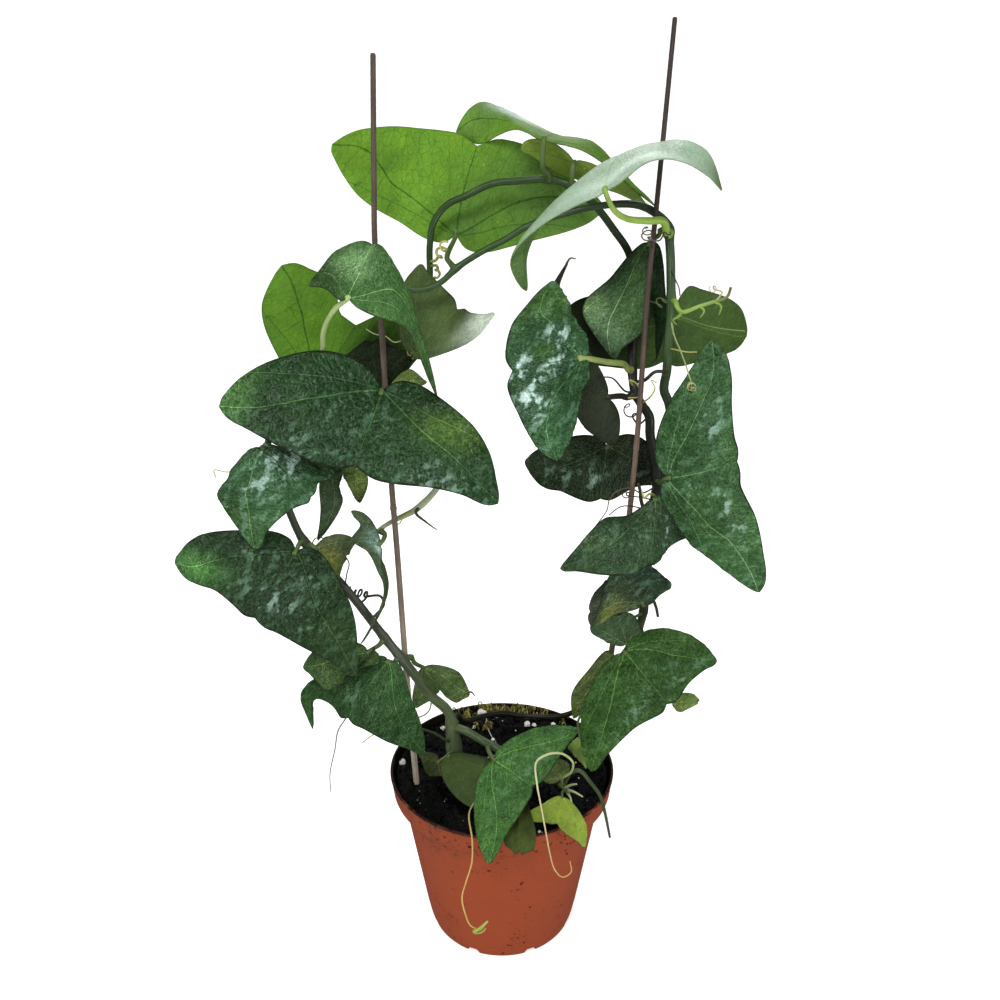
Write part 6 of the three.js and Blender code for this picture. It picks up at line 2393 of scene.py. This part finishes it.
        upper=(88, 112, 52), under=(120, 148, 74), face=Face.UNDER, slot="leaf_light", grain=COARSE,
        blister=0.2,
        marks=dict(
            base=(580, 738, 8), notch=(577, 758, 1), leftTip=(568, 748, 6), rightTip=(586, 769, -6),
            rightShoulder=(588, 753, 2), leftShoulder=(573, 741, 7))),
    Leaf("leaf_pot_left", "vine_left", (450, 748, 9), petiole=0.8, upper=(78, 94, 52), under=(56, 66, 42),
        grain=COARSE, blister=0.2, stalk=((120, 142, 84), (136, 156, 96)),
        marks=dict(
            base=(438, 762, -4), notch=(428, 774, -8), leftTip=(419, 755, -4), rightTip=(441, 776, -9))),
)

DARK = ((42, 42, 34), (52, 48, 40))
YELLOW = ((150, 154, 74), (190, 184, 104))
CREAM = ((188, 190, 136), (212, 210, 166))
LEAFY = ((150, 160, 70), (176, 186, 92))

CURLS = {
    "vine_left": (
        Curl([(303, 540, -20), (311, 549, -16), *spring((314, 547, -15), (330, 538, -13), 6, 2.2, 0.8),
            (333, 552, -14)], YELLOW),
        Curl([(370, 619, -19), (384, 604, -15), (380, 596, -14),
            *spring((366, 597, -14), (350, 591, -14), 5.5, 3.2)], DARK, 0.7, 0.38),
        Curl([(270, 455, -11), (252, 462, -10), (238, 470, -10), (226, 472, -10), (214, 470, -10),
            (216, 478, -10)], YELLOW),
        Curl([(345, 587, -20), (347, 573, -27), (349, 563, -27), (343, 553, -27)], DARK),
        Curl([(432, 697, -3), (428, 712, -9), (406, 722, -12), (386, 730, -15), (373, 735, -16),
            (362, 743, -16)], ((112, 128, 88), (150, 160, 120))),
        Curl([(452, 742, 8), (446, 740, 3), (434, 733, 1), (422, 729, -1)],
            ((58, 72, 40), (48, 60, 34)), 0.9, 0.7),
    ),
    "vine_arch": (
        Curl([(430, 262, 5), (436, 260, 0), *spring((438, 258, -1), (446, 240, -1), 4.5, 2.4, 0.7)],
            YELLOW, 0.75, 0.45),
        Curl([(430, 266, 5), (437, 266, 0), *spring((438, 268, -1), (437, 279, -1), 3.5, 1.4, 0.7)],
            ((110, 128, 56), (160, 166, 84)), 0.75, 0.5),
        Curl([(412, 361, 4), (413, 352, 0), (404, 341, -3), (394, 342, -4), (385, 336, -5),
            (375, 334, -5), (366, 329, -5)], CREAM),
        Curl([(414, 360, 4), (414, 354, -1), *spring((408, 354, -2), (414, 349, -2), 4, 1.8, 0.8)],
            YELLOW),
        Curl([(655, 486, -1), (641, 493, -9), (630, 488, -10), (616, 492, -11), (609, 501, -11),
            (607, 510, -12), (595, 527, -12)], ((60, 56, 44), (96, 92, 70))),
        Curl([(653, 512, -1), (640, 508, -8), (630, 506, -10), (620, 507, -12), (609, 515, -13)], DARK),
        Curl([(655, 500, -1), (638, 497, -10), *spring((629, 495, -11), (624, 495, -11), 4, 1.4, 0.9)],
            DARK),
        Curl([(653, 512, -1), (645, 511, -8), (641, 500, -9), (640, 490, -9), (638, 483, -9)], DARK,
            1.15, 0.8),
        Curl([(655, 497, -1), (649, 494, -8), (644, 498, -10), (642, 491, -11)], YELLOW, 0.8, 0.4),
        Curl([(633, 382, 3), (645, 380, -5), (655, 372, -7), (668, 372, -5)], DARK, 0.9, 0.75),
        Curl([(635, 392, 2), (625, 391, -4), (612, 378, -8), (601, 377, -9)], DARK, 0.55, 0.35),
        Curl([(634, 386, 2), (630, 380, -5), (637, 384, -6), (640, 396, -6), (628, 398, -7)], YELLOW,
            0.5, 0.3),
        Curl([(641, 404, 1), (651, 396, -5), (655, 388, -6), (651, 380, -6), (657, 383, -6)], YELLOW,
            0.45),
        Curl([(649, 416, 0), (638, 424, -6), *spring((634, 418, -7), (624, 404, -8), 5, 1.6, 0.8)],
            DARK, 0.5),
        Curl([(633, 300, 9), (646, 300, 2), *spring((658, 306, -8), (664, 298, -9), 5, 1.6)],
            ((70, 76, 50), (92, 96, 66))),
    ),
    "vine_outer": (
        Curl([(667, 225, -2.5), (660, 240, -8), (652, 240, -11),
            *spring((648, 240, -11), (645, 226, -11), 5, 2.6, 0.7)], ((86, 84, 76), (110, 106, 96))),
        Curl([(670, 240, -2), (666, 240, -8), *spring((665, 238, -9), (668, 231, -9), 4, 1.6, 0.8)],
            DARK),
        Curl([(670, 270, -2), (674, 277, -8), (679, 288, -10), (680, 296, -11)], DARK),
        Curl([(671, 314, -2), (682, 317, -6), (705, 325, -2), (725, 329, 2), (745, 331, 5)],
            ((96, 124, 66), (130, 150, 92)), 0.3, 0.22),
        Curl([(668, 348, -1), (677, 350, -5), (687, 352, -4), (697, 352, -3)], YELLOW),
        Curl([(671, 318, -2), (674, 335, -8), (681, 352, -18), (688, 372, -25),
            *spring((690, 384, -26), (694, 390, -26), 4, 3, 0.9)], ((150, 164, 112), (176, 176, 120))),
    ),
    "shoot_front": (),
    "shoot_left": (
        Curl([(420, 506, -6), (416, 513, -9), (426, 522, -10), (437, 530, -10)],
            ((66, 78, 46), (56, 66, 40)), 1.0),
        Curl([(415, 510, -6), (404, 516, -9), (399, 524, -10), (393, 522, -10)], YELLOW),
    ),
    "shoot_right": (
        Curl([(682, 312, -10), (678, 317, -12), (673, 320, -12), (677, 325, -12)],
            ((130, 166, 66), (110, 140, 56)), 0.8),
        Curl([(700, 306, -10), (704, 311, -12), (700, 318, -12)], ((140, 172, 80), (120, 150, 64)),
            0.7, 0.3),
        Curl([(714, 301, -10), (721, 306, -12), (719, 315, -12)], ((140, 172, 80), (120, 150, 64)),
            0.65, 0.3),
        Curl([(716, 301, -10), (722, 292, -12),
            *spring((716, 288, -12), (711, 290, -12), 4, 1.3, 0.8)], CREAM),
    ),
}

LEAF_CURLS = {
    "leaf_pot_front": (
        Curl([(494, 755, -16), (488, 772, -25), (480, 793, -35), (471, 808, -45), (469, 819, -56),
            (472, 838, -64), (472, 861, -66), (466, 882, -64), (462, 898, -61), (465, 913, -60),
            (471, 926, -59), (478, 929, -59)],
            ((120, 134, 84), (176, 160, 96), (206, 168, 98), (190, 172, 92)), 0.46, 0.36),
        Curl([(473, 932, -60), (480, 928, -60), (488, 921, -59)], LEAFY, 1.0, 0.5),
        Curl([(474, 930, -58), (481, 929, -58), (485, 924, -58)], LEAFY, 0.8, 0.4),
        Curl([(474, 933, -58), (482, 932, -58), (486, 928, -58)], LEAFY, 0.7, 0.3),
    ),
    "leaf_left_low": (
        Curl([(388, 661, -23), (362, 694, -30), (346, 718, -32), (338, 731, -31), (335, 749, -30),
            (330, 774, -30), (331, 793, -30)], ((96, 104, 84), (120, 124, 108))),
    ),
    "leaf_right_brown": (
        Curl([(565, 268, -20), (568, 261, -20), (571, 258, -20), (576, 259, -20)],
            ((60, 56, 50), (84, 74, 66)), 0.7),
    ),
    "leaf_left_small": (
        Curl([(466, 693, -4), (471, 692, -4), (475, 696, -4)], DARK, 0.6),
    ),
}


TWIGS = {
    "vine_arch": (
        Twig(((646, 594, 1), (652, 598, -3), (656, 607, -4), (658, 617, -4)), taper(0.9, 0.7),
            ((60, 66, 40), (50, 48, 34)), step=0.9),
    ),
    "shoot_front": (
        Twig(((563, 787, -22), (572, 772, -23), (580, 771, -24), (590, 782, -28), (600, 796, -36),
            (605, 813, -45), (610, 838, -54)), taper(1.3, 0.5),
            ((86, 104, 62), (66, 86, 48), (58, 78, 44), (44, 58, 34)), 12, 1.0, 2, 0.32),
        Twig(((566, 790, -24), (574, 792, -27), (583, 797, -30)), taper(0.9, 0.4)),
        Twig(((565, 788, -24), (571, 785, -26), (577, 784, -28)), taper(0.9, 0.4)),
        Twig(((566, 791, -24), (570, 797, -28), (572, 804, -32)), taper(0.9, 0.4)),
        Twig(((562, 786, -22), (563, 778, -27), (571, 772, -29), (573, 763, -31), (565, 755, -35),
            (556, 753, -40), (546, 755, -44), (536, 763, -50), (537, 784, -57), (541, 806, -62),
            (546, 833, -69), (550, 854, -72), (555, 870, -71), (563, 877, -69), (571, 872, -67),
            (570, 861, -66)), ((0.0, 0.62), (0.35, 0.6), (0.6, 0.38), (1.0, 0.3)),
            ((150, 166, 110), (176, 192, 128), (206, 202, 160), (200, 176, 116), (196, 150, 92)),
            sides=8),
    ),
}


def growth_extras(stems: Stems) -> dict[str, list[Tube]]:
    """Collects the tendrils, scales and stubs of each stem.

    Args:
        stems: the routed stems.

    Returns:
        Tubes by stem name.
    """
    extras = {name: [stems.tendril(curl, name) for curl in curls] for name, curls in CURLS.items()}
    for name, twigs in TWIGS.items():
        extras[name] += [twig.tube() for twig in twigs]
    return extras


def main() -> None:
    """Builds the studio, the pot and the plant."""
    studio = Studio()
    studio.build()
    finishes = Finishes.make()

    pot = Pot()
    pot.build(finishes.pot)
    peat = Peat(pot)
    peat.build(finishes.peat)
    Perlite(peat).build(finishes.perlite)
    Moss(peat).build(finishes.moss)
    for stake in STAKES:
        stake.build(peat.top, finishes.cane)

    stems = Stems()
    for stem in STEMS:
        stems.route(stem)
    extras = growth_extras(stems)
    for stem in STEMS:
        forks = [leaf.root for leaf in LEAVES if leaf.stem == stem.name]
        forks += [other.fork for other in STEMS if other.parent == stem.name]
        stems.grow(stem, forks, extras[stem.name], finishes.skin)

    foliage = Foliage(stems)
    for leaf in LEAVES:
        foliage.grow(leaf, finishes, LEAF_CURLS.get(leaf.name, ()))

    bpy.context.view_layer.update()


if __name__ == "__main__":
    logging.basicConfig(level=logging.INFO, format="%(message)s")
    main()
